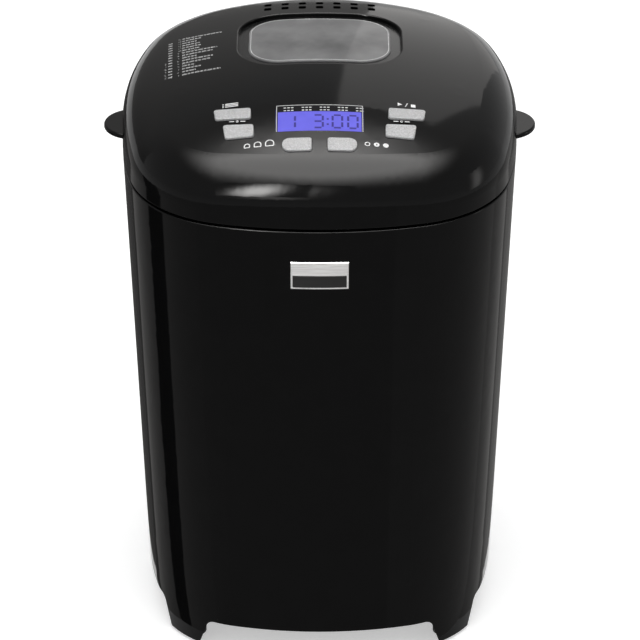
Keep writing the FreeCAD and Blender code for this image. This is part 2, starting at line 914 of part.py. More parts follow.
def belt_wire(thick, z):
    """Open belt round both pulleys: two arcs and two tangent runs."""
    span = math.hypot(motor_x, motor_y)
    big = pulley_radius + thick
    small = motor_pulley_radius + thick
    lean = math.acos((big - small) / span)

    def point(cx, radius, angle):
        return V(cx + radius * math.cos(angle), radius * math.sin(angle), z)

    far = [point(0, big, a) for a in (lean, math.pi, -lean)]
    near = [point(span, small, a) for a in (-lean, 0, lean)]
    edges = [Part.Arc(*far).toShape(), Part.LineSegment(far[2], near[0]).toShape(),
             Part.Arc(*near).toShape(), Part.LineSegment(near[2], far[0]).toShape()]
    return Part.Wire(edges)


def drive_belt():
    inner = prism(belt_wire(touch_gap, belt_bottom), belt_width)
    outer = prism(belt_wire(touch_gap + belt_thick, belt_bottom), belt_width)
    belt = outer.cut(inner)
    belt.rotate(V(0, 0, 0), V(0, 0, 1), math.degrees(math.atan2(motor_y, motor_x)))
    return belt


def motor_body():
    """Stator stack between two end bells, with a mounting flange on top."""
    stack_low = motor_bottom + motor_bell_height
    body = rod(motor_radius, stack_low, motor_top - motor_flange_thick)
    bell = rod(motor_bell_radius, motor_bottom, stack_low)
    bell = bell.makeFillet(motor_bell_height / 2, edges_at(bell, motor_bottom))
    body = body.fuse(bell).fuse(rod(motor_flange_radius, motor_top - motor_flange_thick, motor_top))
    body.translate(V(motor_x, motor_y, 0))
    body = body.cut(rod(motor_shaft_radius + running_clear, motor_bottom, motor_top - motor_flange_thick,
                        motor_x, motor_y))
    for x, y in motor_screw_places():
        body = body.cut(rod(screw_radius + slip_clear, motor_bottom, motor_top, x, y))
        head = rod(screw_head_radius + slip_clear, motor_bottom, motor_top - motor_flange_thick, x, y)
        body = body.cut(head)
    return body


def motor_bracket():
    width = 2 * motor_bracket_half
    wire = rectangle(width, width, motor_bracket_half / 3, motor_top, motor_x, motor_y)
    plate = prism(wire, motor_bracket_thick)
    plate = plate.common(body_block(base_top, chamber_floor, 2 * body_wall))
    plate = plate.cut(rod(bearing_flange + slip_clear, motor_top, chassis_bottom))
    for x, y in motor_screw_places():
        plate = plate.cut(rod(screw_radius + press_clear, motor_top, chassis_bottom, x, y))
    return plate


def motor_screws():
    up = motor_flange_thick + motor_bracket_thick + chassis_thick
    return [screw(motor_top - motor_flange_thick, up, x, y) for x, y in motor_screw_places()]


def fan_bottom():
    return pulley_bottom - touch_gap - fan_height


def motor_shaft():
    high = motor_top - motor_flange_thick - slip_clear
    return rod(motor_shaft_radius, fan_bottom(), high, motor_x, motor_y)


def motor_fan():
    low = fan_bottom()
    fan = rod(fan_hub_radius, low, low + fan_height)
    for i in range(fan_blades):
        side = fan_blade_thick / 2
        blade = box(fan_hub_radius / 2, fan_radius, -side, side, low, low + fan_height)
        blade.rotate(V(0, 0, low + fan_height / 2), V(1, 0, 0), fan_blade_pitch)
        blade = blade.common(rod(fan_radius, low, low + fan_height))
        blade.rotate(V(0, 0, 0), V(0, 0, 1), 360 * i / fan_blades)
        fan = fan.fuse(blade)
    fan = fan.cut(rod(motor_shaft_radius + press_clear, low, low + fan_height))
    fan.translate(V(motor_x, motor_y, 0))
    return fan


def lower_coupling():
    """Disc with two upright driving pins."""
    disc = rod(coupling_radius, coupling_bottom, coupling_top)
    for side in (-1, 1):
        disc = disc.fuse(rod(coupling_pin_radius, coupling_bottom, coupling_top + coupling_pin_height,
                             0, side * coupling_pin_reach))
    return disc.cut(rod(shaft_radius + press_clear, coupling_bottom, coupling_top))


def shaft_profile(radius, z0, z1, flat):
    """Round shaft with one flat side that turns the paddle."""
    return rod(radius, z0, z1).cut(box(radius - flat, 2 * radius, -radius, radius, z0, z1))


def upper_coupling():
    """Two-armed bar that lies between the driving pins."""
    half = coupling_radius - touch_gap
    bar = box(-half, half, -coupling_bar_width / 2, coupling_bar_width / 2, bar_bottom,
              bar_bottom + coupling_bar_thick)
    bar = bar.common(rod(half, bar_bottom, bar_bottom + coupling_bar_thick))
    bar = bar.fuse(rod(shaft_radius + coupling_hub_wall, bar_bottom, bar_bottom + coupling_bar_thick))
    return bar.cut(rod(shaft_radius + press_clear, bar_bottom, bar_bottom + coupling_bar_thick))


def bush_top():
    return pan_floor + pan_wall + bush_rise


def pan_bush():
    bush = rod(bush_radius, pan_floor - bush_flange_thick, bush_top())
    bush = bush.fuse(rod(bush_radius + bush_flange, pan_floor - bush_flange_thick, pan_floor))
    return bush.cut(rod(shaft_radius + running_clear, pan_floor - bush_flange_thick, bush_top()))


def pan_shaft():
    flat_start = bush_top() + touch_gap
    low = rod(shaft_radius, bar_bottom, flat_start)
    return low.fuse(shaft_profile(shaft_radius, flat_start, bush_top() + pan_shaft_rise, shaft_flat))


def kneading_paddle():
    """Hub that slips over the pan shaft, with one tall swept blade."""
    low = bush_top() + touch_gap
    hub = rod(paddle_hub_radius, low, low + paddle_hub_height)
    hub = hub.makeFillet(paddle_hub_round, edges_at(hub, low + paddle_hub_height))
    tip = paddle_reach
    top = low + paddle_height
    half = paddle_thick / 2
    corners = [(0, low), (tip, low), (paddle_tip_lean * tip, low + paddle_tip_height * paddle_height),
               (paddle_crest * tip, top), (0, top - half)]
    blade = prism(rounded(corners, [touch_gap, half, 4 * half, 4 * half, touch_gap]), paddle_thick)
    blade.rotate(V(0, 0, 0), V(1, 0, 0), 90)
    blade.translate(V(0, half, 0))
    foot_middle = (tip + paddle_hub_radius) / 2 - half
    foot_round = 2 * slot_end_share * paddle_thick
    foot = prism(rectangle(tip - paddle_hub_radius, 2 * paddle_thick, foot_round, low, foot_middle), half)
    paddle = hub.fuse(blade).fuse(foot)
    bore_top = bush_top() + pan_shaft_rise + touch_gap
    return paddle.cut(shaft_profile(shaft_radius + press_clear, low, bore_top, shaft_flat))


# Electrics in the base


def power_board():
    low = base_top + standoff_height
    wire = rectangle(power_board_width, power_board_length, board_corner, low, power_board_x)
    return prism(wire, board_thick)


def on_power_board():
    return base_top + standoff_height + board_thick


def transformer():
    """Core with a wound bobbin standing proud of it on both sides."""
    low = on_power_board()
    y = -(capacitor_radius + transformer_gap + transformer_depth / 2)
    core = rectangle(transformer_width, transformer_core_depth, transformer_corner, low, power_board_x, y)
    coil_low = low + transformer_coil_lift
    coil = rectangle(transformer_coil_width, transformer_depth, board_corner, coil_low, power_board_x, y)
    return prism(core, transformer_height).fuse(prism(coil, transformer_coil_height))


def relay():
    low = on_power_board()
    y = capacitor_radius + relay_gap + relay_depth / 2
    wire = rectangle(relay_width, relay_depth, transformer_corner, low, power_board_x, y)
    case = prism(wire, relay_height)
    return case.makeFillet(relay_edge, edges_at(case, low + relay_height))


def capacitor():
    low = on_power_board()
    can = rod(capacitor_radius, low, low + capacitor_height, power_board_x, 0)
    return can.makeFillet(capacitor_edge, edges_at(can, low + capacitor_height))


# Lid


def lid_outline(z, inset=0.0):
    shrink = (z - lid_bottom) * math.tan(math.radians(lid_draft)) + inset
    return outline(plan_half - shrink, corner_radius - shrink, side_radius - shrink, z)


def crown_ball(inset):
    """Sphere of the crown, turned so that its seam and poles lie away from the crown."""
    ball = Part.makeSphere(crown_radius - inset)
    ball.rotate(V(0, 0, 0), V(0, 1, 0), 90)
    ball.translate(crown_centre)
    return ball


def crown_edges(shape, inset):
    """Edges that lie on the crown, or on the sphere at a depth below it."""
    found = []
    for edge in shape.Edges:
        if all(abs((p - crown_centre).Length - crown_radius + inset) < 1e-3 for p in edge.discretize(5)):
            found.append(edge)
    return found


def lid_block(z0, inset=0.0):
    """Drafted wall under the crown, joined by the round shoulder."""
    block = taper(lid_outline(z0, inset), lid_outline(overall_height + lid_wall, inset))
    block = block.common(crown_ball(inset))
    return block.makeFillet(shoulder_radius - inset, crown_edges(block, inset))


def crown_point(x, y):
    dx = x - crown_centre.x
    dy = y - crown_centre.y
    return V(x, y, crown_centre.z + math.sqrt(crown_radius ** 2 - dx ** 2 - dy ** 2))


def crown_place(x, y):
    """Placement on the crown: local Z along the outward normal, local X across the machine."""
    point = crown_point(x, y)
    normal = (point - crown_centre).normalize()
    return FreeCAD.Placement(point, FreeCAD.Rotation(V(1, 0, 0), V(0, 1, 0), normal, "ZXY"))


def placed(shape, place):
    copy = shape.copy()
    copy.Placement = place.multiply(copy.Placement)
    return copy


def crown_layer(wire_at, top, bottom):
    """Slab between two depths below the crown, inside an upright outline drawn by wire_at(z)."""
    low = liner_height
    column = prism(wire_at(low), overall_height - low + lid_wall)
    return column.common(crown_ball(top)).cut(crown_ball(bottom))


def window_outline(grow):
    def at(z):
        return rectangle(window_width, window_depth, window_corner, z, 0, window_y, grow)
    return at


def lift_tab():
    """D-shaped finger tab on the right side of the lid."""
    low = tab_height - tab_thick / 2
    inside = plan_half - 2 * lid_wall
    arc = Part.Arc(V(tab_root, -tab_half, low), V(tab_reach, 0, low), V(tab_root, tab_half, low)).toShape()
    edges = [arc, Part.LineSegment(V(tab_root, tab_half, low), V(inside, tab_half, low)).toShape(),
             Part.LineSegment(V(inside, tab_half, low), V(inside, -tab_half, low)).toShape(),
             Part.LineSegment(V(inside, -tab_half, low), V(tab_root, -tab_half, low)).toShape()]
    tab = prism(Part.Wire(edges), tab_thick)
    rims = [e for e in edges_at(tab, low) + edges_at(tab, low + tab_thick) if e.Length > 2.1 * tab_half]
    return tab.makeFillet(tab_round, rims)


def lid_knuckle(x0, x1):
    """Hinge barrel on a web that runs up into the lid's rear wall."""
    inside = plan_half - 4 * lid_wall
    high = seam_height + knuckle_web
    web = [(inside, lid_bottom), (hinge_y, lid_bottom), (hinge_y + barrel_radius, seam_height),
           (hinge_y + barrel_radius, seam_height + barrel_radius), (inside + 2 * lid_wall, high),
           (inside, high)]
    return profile_x(web, x0, x1).fuse(hinge_barrel(x0, x1))


def lid_boss_places():
    return [(sx * x, y) for sx in (-1, 1)
            for x, y in ((lid_boss_front_x, lid_boss_front_y), (lid_boss_rear_x, lid_boss_rear_y))]


def control_boss_places():
    return [(sx * control_boss_x, y) for sx in (-1, 1) for y in (control_boss_rear, control_boss_front)]


def lid_vents():
    slots = []
    for y in (lid_vent_front, lid_vent_rear):
        for i in range(lid_vent_count):
            x = (i - (lid_vent_count - 1) / 2) * lid_vent_pitch
            wire = rectangle(lid_vent_width, lid_vent_length, lid_vent_round, liner_top, x, y)
            slots.append(prism(wire, overall_height))
    return slots


def lid_shell():
    outer = lid_block(lid_bottom)
    outer = outer.makeFillet(rim_round, edges_at(outer, lid_bottom))
    block = outer
    tab = lift_tab()
    outer = outer.fuse(tab).fuse(mirror_x(tab))
    for x0, x1 in lid_knuckle_spans():
        outer = outer.fuse(lid_knuckle(x0, x1))
    shell = outer.cut(lid_block(lid_bottom - seam_gap, lid_wall))
    shell = shell.cut(hinge_hole(hinge_pin_radius + running_clear))
    shell = shell.cut(prism(window_outline(0)(liner_top), overall_height))
    near = prism(window_outline(lid_wall)(liner_top), overall_height).BoundBox
    brink = [edge for edge in crown_edges(shell, 0) if near.isInside(edge.BoundBox)]
    shell = shell.makeFillet(window_edge_round, brink)
    for x, y in lid_boss_places():
        shell = shell.fuse(rod(lid_boss_radius, liner_top, overall_height, x, y).common(block))
        hole_top = liner_top + screw_bite + screw_hole_spare
        shell = shell.cut(rod(screw_radius + press_clear, liner_top, hole_top, x, y))
    frame = crown_place(0, control_y)
    for x, y in control_boss_places():
        boss = placed(rod_local(control_boss_radius, -control_depth, 0, x, y), frame)
        shell = shell.fuse(boss.common(block))
    for slot in lid_vents():
        shell = shell.cut(slot)
    for _, corners, radii in button_list():
        shell = shell.cut(button_prism(corners, radii, button_gap, -2 * flange_bottom, 2 * button_proud))
    return shell.cut(display_prism(touch_gap / 2, -3 * lid_wall, lid_wall)).removeSplitter()


def rod_local(radius, z0, z1, x, y):
    """Rod whose own placement stays at the origin, ready to be placed on the crown."""
    face = Part.Face(Part.Wire(Part.makeCircle(radius, V(x, y, z0))))
    return face.extrude(V(0, 0, z1 - z0))


def lid_liner():
    slab = box(-plan_half, plan_half, -plan_half, plan_half, liner_height, liner_top)
    plate = lid_block(lid_bottom, lid_wall + liner_clear).common(slab)
    plate = plate.cut(prism(window_outline(-glass_margin)(liner_height), liner_thick))
    for x, y in lid_boss_places():
        plate = plate.cut(rod(screw_radius + slip_clear, liner_height, liner_top, x, y))
    return plate


def lid_screws():
    return [screw(liner_height, liner_thick + screw_bite, x, y) for x, y in lid_boss_places()]


def window_frame():
    """Ring under the edge of the window opening, with a rebate for the glass."""
    top = lid_wall + press_clear
    ring = crown_layer(window_outline(frame_grip), top, top + frame_thick)
    rebate = glass_inset + glass_thick + press_clear
    ring = ring.cut(crown_layer(window_outline(-glass_margin + press_clear), 0, rebate))
    return ring.cut(crown_layer(window_outline(-glass_margin - frame_sight), 0, top + 2 * frame_thick))


def window_pane():
    pane = crown_layer(window_outline(-glass_margin - press_clear), glass_inset, glass_inset + glass_thick)
    return pane.makeFillet(glass_edge_round, crown_edges(pane, glass_inset))


def window_inner_pane():
    wire = window_outline(-glass_margin + inner_pane_lap)(liner_top)
    return prism(wire, inner_pane_thick)


# Controls


def button_list():
    """Name, plan corners and corner radii of each button."""
    plain = [button_corner] * 4
    loaf_radii = [loaf_end_round, loaf_end_round, button_corner, button_corner]

    def left(corners):
        return [(x, back - plan_half) for x, back in corners]

    def right(corners):
        return [(-x, back - plan_half) for x, back in reversed(corners)]

    return [("menu_button", left(menu_corners), plain),
            ("time_button", left(time_corners), plain),
            ("start_stop_button", right(menu_corners), plain),
            ("cycle_button", right(time_corners), plain),
            ("loaf_size_button", left(loaf_corners), loaf_radii),
            ("crust_color_button", right(loaf_corners), list(reversed(loaf_radii)))]


def button_middle(corners):
    return (sum(c[0] for c in corners) / len(corners), sum(c[1] for c in corners) / len(corners))


def button_prism(corners, radii, grow, z0, z1):
    """Prism of a button's outline along the crown's normal at its middle."""
    x, y = button_middle(corners)
    wire = rounded([(cx - x, cy - y) for cx, cy in corners], radii, z0, grow)
    return placed(prism(wire, z1 - z0), crown_place(x, y))


def button(corners, radii):
    """Cap that stands proud of the crown, with a flange behind the hole."""
    x, y = button_middle(corners)
    local = [(cx - x, cy - y) for cx, cy in corners]
    cap = prism(rounded(local, radii, -flange_bottom), flange_bottom + button_proud)
    cap = cap.makeFillet(button_edge, edges_at(cap, button_proud))
    flange = prism(rounded(local, radii, -flange_bottom, button_flange), button_flange_thick)
    return placed(cap.fuse(flange), crown_place(x, y))


def board_place():
    return crown_place(0, control_y)


def control_board():
    corners = [(-control_front_half, control_front), (control_front_half, control_front),
               (control_rear_half, control_rear), (-control_rear_half, control_rear)]
    board = prism(rounded(corners, board_corner, -control_depth - board_thick), board_thick)
    return placed(board, board_place())


def above_board():
    """Space over the control board, for trimming what stands on it."""
    reach = 2 * plan_half
    wire = rectangle(reach, reach, board_corner, -control_depth)
    return placed(prism(wire, 2 * control_depth), board_place())


def push_switches():
    """One small switch under each button, standing on the control board."""
    space = above_board()
    switches = []
    for _, corners, _ in button_list():
        x, y = button_middle(corners)
        body = prism(rectangle(2 * switch_half, 2 * switch_half, switch_corner, -2 * control_depth),
                     2 * control_depth - switch_top - switch_gap)
        plunger = rod_local(switch_half / 2, -control_depth, -switch_top, 0, 0)
        switches.append(placed(body.fuse(plunger), crown_place(x, y)).common(space))
    return switches


def display_middle():
    return (display_rear + display_front) / 2


def display_prism(grow, z0, z1):
    wire = rectangle(2 * display_half, display_rear - display_front, display_corner, z0, 0, 0, grow)
    return placed(prism(wire, z1 - z0), crown_place(0, display_middle()))


def display_lens():
    lens = display_prism(0, -lid_wall - lens_thick, lid_wall)
    return lens.common(crown_ball(lens_sink)).cut(crown_ball(lens_sink + lens_thick))


def lcd_module():
    """Display cell in its carrier, between the lens and the control board."""
    top = -lid_wall - touch_gap - module_half ** 2 / (2 * crown_radius)
    wire = rectangle(2 * module_half, module_depth, module_corner, -2 * control_depth)
    block = placed(prism(wire, 2 * control_depth + top), crown_place(0, display_middle()))
    return block.common(above_board())


# Hinge pins


def hinge_pins():
    length = 2 * (knuckle_width + knuckle_gap) + lid_knuckle_width
    pins = []
    for start in (knuckle_start, -knuckle_start - length):
        pins.append(Part.makeCylinder(hinge_pin_radius, length, V(start, hinge_y, seam_height), V(1, 0, 0)))
    return pins


os.makedirs("parts", exist_ok=True)

save("body_shell", body_shell())
save("cord_gland", cord_gland())
save("base_plate", base_plate())
save("rubber_feet", *rubber_feet())
save("base_screws", *base_screws())
save("chassis_plate", chassis_plate())
save("chassis_posts", *chassis_posts())
save("oven_chamber", oven_chamber())
save("top_deck", top_deck())
save("heating_element", heating_element())
save("heater_clips", *heater_clips())
save("temperature_sensor", temperature_sensor())
save("thermal_fuse", thermal_fuse())
save("pan_socket", pan_socket())
save("shaft_bearing", shaft_bearing())
save("motor_body", motor_body())
save("motor_bracket", motor_bracket())
save("motor_screws", *motor_screws())
save("drive_belt", drive_belt())
save("power_board", power_board())
save("transformer", transformer())
save("relay", relay())
save("capacitor", capacitor())
save("hinge_pins", *hinge_pins())

save("lid_shell", lid_shell())
save("lid_liner", lid_liner())
save("lid_screws", *lid_screws())
save("window_frame", window_frame())
save("window_pane", window_pane())
save("window_inner_pane", window_inner_pane())
save("display_lens", display_lens())
save("lcd_module", lcd_module())
save("control_board", control_board())
save("push_switches", *push_switches())
for button_name, button_corners, button_radii in button_list():
    save(button_name, button(button_corners, button_radii))

save("bread_pan", bread_pan())
save("pan_base_ring", pan_base_ring())
save("pan_bush", pan_bush())
save("pan_handle", pan_handle())
save("kneading_paddle", kneading_paddle())
save("pan_shaft", pan_shaft())
save("upper_coupling", upper_coupling())

save("drive_shaft", drive_shaft())
save("lower_coupling", lower_coupling())
save("driven_pulley", driven_pulley())
save("motor_shaft", motor_shaft())
save("motor_pulley", motor_pulley())
save("motor_fan", motor_fan())
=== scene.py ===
import math

import bmesh
import bpy
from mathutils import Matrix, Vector


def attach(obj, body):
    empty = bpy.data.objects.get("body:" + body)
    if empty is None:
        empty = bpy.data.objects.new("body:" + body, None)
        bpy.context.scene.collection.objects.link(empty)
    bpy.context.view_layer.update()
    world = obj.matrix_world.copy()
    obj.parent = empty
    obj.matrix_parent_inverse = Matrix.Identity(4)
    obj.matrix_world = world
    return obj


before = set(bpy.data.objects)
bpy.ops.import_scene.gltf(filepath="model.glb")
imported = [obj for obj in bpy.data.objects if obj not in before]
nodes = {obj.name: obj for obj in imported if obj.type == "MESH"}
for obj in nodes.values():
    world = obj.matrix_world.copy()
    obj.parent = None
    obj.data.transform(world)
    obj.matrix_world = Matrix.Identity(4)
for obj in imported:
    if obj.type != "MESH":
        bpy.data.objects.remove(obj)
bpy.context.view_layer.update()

# Sizes in metres that the looks share with the solids
SETBACK = 0.00475
CROWN_RADIUS = 0.340
CROWN_CENTRE = Vector((0.0, 0.010 - SETBACK, 0.017))
SEAM_HEIGHT = 0.3012
PLAN_HALF = 0.116
FLOOR_HALF = 0.106
SIDE_RADIUS = 0.2416
LID_MIDDLE = Vector((0.0, 0.0, 0.33))

# Print: how far it stands over its face, and how thick it is
PRINT_PROUD = 0.00006
PRINT_DEPTH = 0.00018

# Camera
CAMERA_AT = Vector((0.0, -1.9034 - SETBACK, 1.2796))
CAMERA_AIM = Vector((0.0, -SETBACK, 0.1764))
CAMERA_LENS = 203.63
CAMERA_SHIFT = 0.0006
CAMERA_REACH = 30.0
SENSOR_WIDTH = 36.0

# Light
FLOOR_SIZE = 6.0
FLOOR_TONE_SCALE = 3.0
FLOOR_GLOW = 0.42
WORLD_LEVEL = 0.75
LAMP_POWER = 14.0
LAMP_SIZE = 1.6
LAMP_AT = Vector((0.0, -0.5, 2.4))

# Noise that the materials share, and the depth of their grain
TONE_SCALE = 60.0
TONE_DETAIL = 3.0
GLOSS_SCALE = 90.0
GLOSS_DETAIL = 4.0
FINE_DETAIL = 2.0
STREAK_DETAIL = 6.0
WHOLE_SPAN = (0.0, 1.0)
GRAIN_DEPTH = 0.0002
METAL_GRAIN = 0.08

# Edges sharper than these stay sharp
NODE_SMOOTH_ANGLE = math.radians(28)
PIECE_SMOOTH_ANGLE = math.radians(30)


# Materials


def set_inputs(node, values):
    """Plain values for some inputs of a shader node."""
    for name, value in values.items():
        node.inputs[name].default_value = value


def new_material(name):
    material = bpy.data.materials.new(name)
    material.use_nodes = True
    tree = material.node_tree
    shader = tree.nodes["Principled BSDF"]
    return material, tree, shader


def add_span(tree, value, span):
    """Value from 0 to 1, remapped between the two ends of a span."""
    remap = tree.nodes.new("ShaderNodeMapRange")
    set_inputs(remap, {"To Min": span[0], "To Max": span[1]})
    tree.links.new(value, remap.inputs["Value"])
    return remap.outputs["Result"]


def add_noise(tree, scale, detail, span):
    """Noise in object space, remapped between the two ends of a span."""
    place = tree.nodes.new("ShaderNodeTexCoord")
    noise = tree.nodes.new("ShaderNodeTexNoise")
    set_inputs(noise, {"Scale": scale, "Detail": detail})
    tree.links.new(place.outputs["Object"], noise.inputs["Vector"])
    return add_span(tree, noise.outputs["Fac"], span)


def add_tones(tree, factor, dark, light):
    """Colour between two tones."""
    mix = tree.nodes.new("ShaderNodeMix")
    mix.data_type = "RGBA"
    set_inputs(mix, {"A": (*dark, 1.0), "B": (*light, 1.0)})
    tree.links.new(factor, mix.inputs["Factor"])
    return mix.outputs["Result"]


def mottled(tree, scale, dark, light):
    """Colour that drifts between two tones."""
    return add_tones(tree, add_noise(tree, scale, TONE_DETAIL, WHOLE_SPAN), dark, light)


def add_bump(tree, shader, height, strength):
    """Fine grain in the surface."""
    bump = tree.nodes.new("ShaderNodeBump")
    set_inputs(bump, {"Strength": strength, "Distance": GRAIN_DEPTH})
    tree.links.new(height, bump.inputs["Height"])
    tree.links.new(bump.outputs["Normal"], shader.inputs["Normal"])


def plastic(name, dark, light, rough, specular, grain, strength, tone_scale=TONE_SCALE):
    """Moulded or painted face: two tones, roughness that varies and a fine grain."""
    material, tree, shader = new_material(name)
    tree.links.new(mottled(tree, tone_scale, dark, light), shader.inputs["Base Color"])
    tree.links.new(add_noise(tree, GLOSS_SCALE, GLOSS_DETAIL, rough), shader.inputs["Roughness"])
    set_inputs(shader, {"Specular IOR Level": specular})
    add_bump(tree, shader, add_noise(tree, grain, FINE_DETAIL, WHOLE_SPAN), strength)
    return material


def metal(name, dark, light, rough, stretch):
    """Brushed or drawn metal: noise stretched along one axis."""
    material, tree, shader = new_material(name)
    place = tree.nodes.new("ShaderNodeTexCoord")
    mapping = tree.nodes.new("ShaderNodeMapping")
    noise = tree.nodes.new("ShaderNodeTexNoise")
    set_inputs(mapping, {"Scale": stretch})
    set_inputs(noise, {"Scale": 1.0, "Detail": STREAK_DETAIL})
    tree.links.new(place.outputs["Object"], mapping.inputs["Vector"])
    tree.links.new(mapping.outputs["Vector"], noise.inputs["Vector"])
    streaks = noise.outputs["Fac"]
    tree.links.new(add_tones(tree, streaks, dark, light), shader.inputs["Base Color"])
    tree.links.new(add_span(tree, streaks, rough), shader.inputs["Roughness"])
    set_inputs(shader, {"Metallic": 1.0})
    add_bump(tree, shader, streaks, METAL_GRAIN)
    return material


def window_glass(name, dark, light, rough, clear, bend):
    """Tinted window: grey haze under a polished face, partly clear."""
    haze_scale, gloss_scale = 45.0, 40.0
    material, tree, shader = new_material(name)
    tree.links.new(mottled(tree, haze_scale, dark, light), shader.inputs["Base Color"])
    tree.links.new(add_noise(tree, gloss_scale, FINE_DETAIL, rough), shader.inputs["Roughness"])
    set_inputs(shader, {"Transmission Weight": clear, "IOR": bend})
    return material


def lit_panel(name, dark, light, rough, specular, glow):
    """Back-lit display field."""
    tone_scale, gloss_scale = 120.0, 300.0
    material, tree, shader = new_material(name)
    colour = mottled(tree, tone_scale, dark, light)
    tree.links.new(colour, shader.inputs["Base Color"])
    tree.links.new(colour, shader.inputs["Emission Color"])
    tree.links.new(add_noise(tree, gloss_scale, FINE_DETAIL, rough), shader.inputs["Roughness"])
    set_inputs(shader, {"Emission Strength": glow, "Specular IOR Level": specular})
    return material


def circuit_board(name, dark, light, track, rough):
    """Green solder mask with lighter copper tracks."""
    track_scale, track_width, gloss_scale = 180.0, 0.06, 200.0
    material, tree, shader = new_material(name)
    place = tree.nodes.new("ShaderNodeTexCoord")
    brick = tree.nodes.new("ShaderNodeTexBrick")
    set_inputs(brick, {"Scale": track_scale, "Mortar Size": track_width})
    set_inputs(brick, {"Color1": (*dark, 1.0), "Color2": (*light, 1.0), "Mortar": (*track, 1.0)})
    tree.links.new(place.outputs["Object"], brick.inputs["Vector"])
    tree.links.new(brick.outputs["Color"], shader.inputs["Base Color"])
    tree.links.new(add_noise(tree, gloss_scale, FINE_DETAIL, rough), shader.inputs["Roughness"])
    return material


GLOSS_BLACK = plastic("gloss_black", (0.0020, 0.0020, 0.0021), (0.0030, 0.0030, 0.0031),
                      rough=(0.05, 0.08), specular=0.066, grain=900.0, strength=0.004)
LID_BLACK = plastic("lid_gloss_black", (0.0024, 0.0024, 0.0025), (0.0034, 0.0034, 0.0035),
                    rough=(0.06, 0.09), specular=0.070, grain=900.0, strength=0.004)
FRAME_GREY = plastic("frame_grey", (0.007, 0.007, 0.0072), (0.010, 0.010, 0.0102),
                     rough=(0.20, 0.30), specular=0.12, grain=1500.0, strength=0.05)
SATIN_BLACK = plastic("satin_black", (0.010, 0.010, 0.011), (0.018, 0.018, 0.019),
                      rough=(0.42, 0.55), specular=0.15, grain=2500.0, strength=0.15)
RUBBER = plastic("foot_rubber", (0.012, 0.012, 0.012), (0.022, 0.022, 0.022),
                 rough=(0.70, 0.85), specular=0.3, grain=3000.0, strength=0.3)
SILVER = plastic("button_silver", (0.12, 0.12, 0.122), (0.72, 0.72, 0.725),
                 rough=(0.34, 0.46), specular=0.08, grain=2600.0, strength=0.35, tone_scale=1500.0)
CREAM = plastic("pulley_nylon", (0.52, 0.50, 0.45), (0.62, 0.60, 0.55),
                rough=(0.45, 0.6), specular=0.4, grain=2000.0, strength=0.1)
RELAY_BLUE = plastic("relay_blue", (0.02, 0.05, 0.16), (0.03, 0.07, 0.20),
                     rough=(0.4, 0.5), specular=0.4, grain=1500.0, strength=0.1)
NONSTICK = plastic("nonstick_coat", (0.022, 0.022, 0.024), (0.040, 0.040, 0.042),
                   rough=(0.34, 0.48), specular=0.2, grain=3500.0, strength=0.35)
PRINT_WHITE = plastic("white_print", (0.62, 0.62, 0.62), (0.72, 0.72, 0.72),
                      rough=(0.55, 0.65), specular=0.2, grain=2000.0, strength=0.05)
# Grey print for the display lines; the same grey also paints the highlight round the window glass
GREY_PRINT_AND_HIGHLIGHT = plastic("grey_print_and_painted_highlight", (0.48, 0.48, 0.48), (0.60, 0.60, 0.60),
                     rough=(0.55, 0.65), specular=0.2, grain=2000.0, strength=0.05)
PRINT_DIM = plastic("dim_print", (0.19, 0.19, 0.19), (0.27, 0.27, 0.27),
                    rough=(0.55, 0.65), specular=0.1, grain=2000.0, strength=0.05)
BADGE_DARK = plastic("badge_dark", (0.003, 0.003, 0.003), (0.006, 0.006, 0.006),
                     rough=(0.3, 0.4), specular=0.3, grain=2000.0, strength=0.05)
LENS_BLACK = plastic("lens_black", (0.006, 0.006, 0.007), (0.010, 0.010, 0.011),
                     rough=(0.05, 0.08), specular=0.07, grain=800.0, strength=0.01)
STEEL = metal("brushed_steel", (0.42, 0.42, 0.42), (0.62, 0.62, 0.62),
              rough=(0.14, 0.24), stretch=(60.0, 60.0, 1200.0))
CHAMBER = plastic("chamber_satin", (0.42, 0.42, 0.424), (0.56, 0.56, 0.565),
                  rough=(0.40, 0.52), specular=0.08, grain=1800.0, strength=0.15)
ELEMENT = metal("element_sheath", (0.10, 0.095, 0.09), (0.20, 0.19, 0.18),
                rough=(0.4, 0.6), stretch=(200.0, 200.0, 200.0))
CAST = metal("cast_alloy", (0.38, 0.38, 0.39), (0.50, 0.50, 0.51),
             rough=(0.42, 0.6), stretch=(400.0, 400.0, 400.0))
BRASS = metal("brass", (0.45, 0.32, 0.12), (0.62, 0.46, 0.18),
              rough=(0.28, 0.42), stretch=(300.0, 300.0, 300.0))
IRON = metal("motor_iron", (0.12, 0.12, 0.12), (0.2, 0.2, 0.2),
             rough=(0.5, 0.65), stretch=(80.0, 80.0, 1500.0))
BADGE_SILVER = metal("badge_silver", (0.40, 0.40, 0.40), (0.80, 0.80, 0.80),
                     rough=(0.30, 0.45), stretch=(90.0, 20.0, 2500.0))
GLASS = window_glass("window_glass", (0.09, 0.09, 0.091), (0.35, 0.35, 0.352),
                     rough=(0.05, 0.10), clear=0.25, bend=1.14)
LCD_BLUE = lit_panel("lcd_blue", (0.076, 0.071, 0.39), (0.098, 0.093, 0.47),
                     rough=(0.25, 0.35), specular=0.02, glow=0.75)
LCD_DIGIT = plastic("lcd_digit", (0.045, 0.036, 0.22), (0.058, 0.048, 0.27),
                    rough=(0.3, 0.4), specular=0.02, grain=2000.0, strength=0.05)
BOARD = circuit_board("circuit_board", (0.015, 0.10, 0.04), (0.02, 0.13, 0.05),
                      track=(0.05, 0.24, 0.10), rough=(0.3, 0.45))

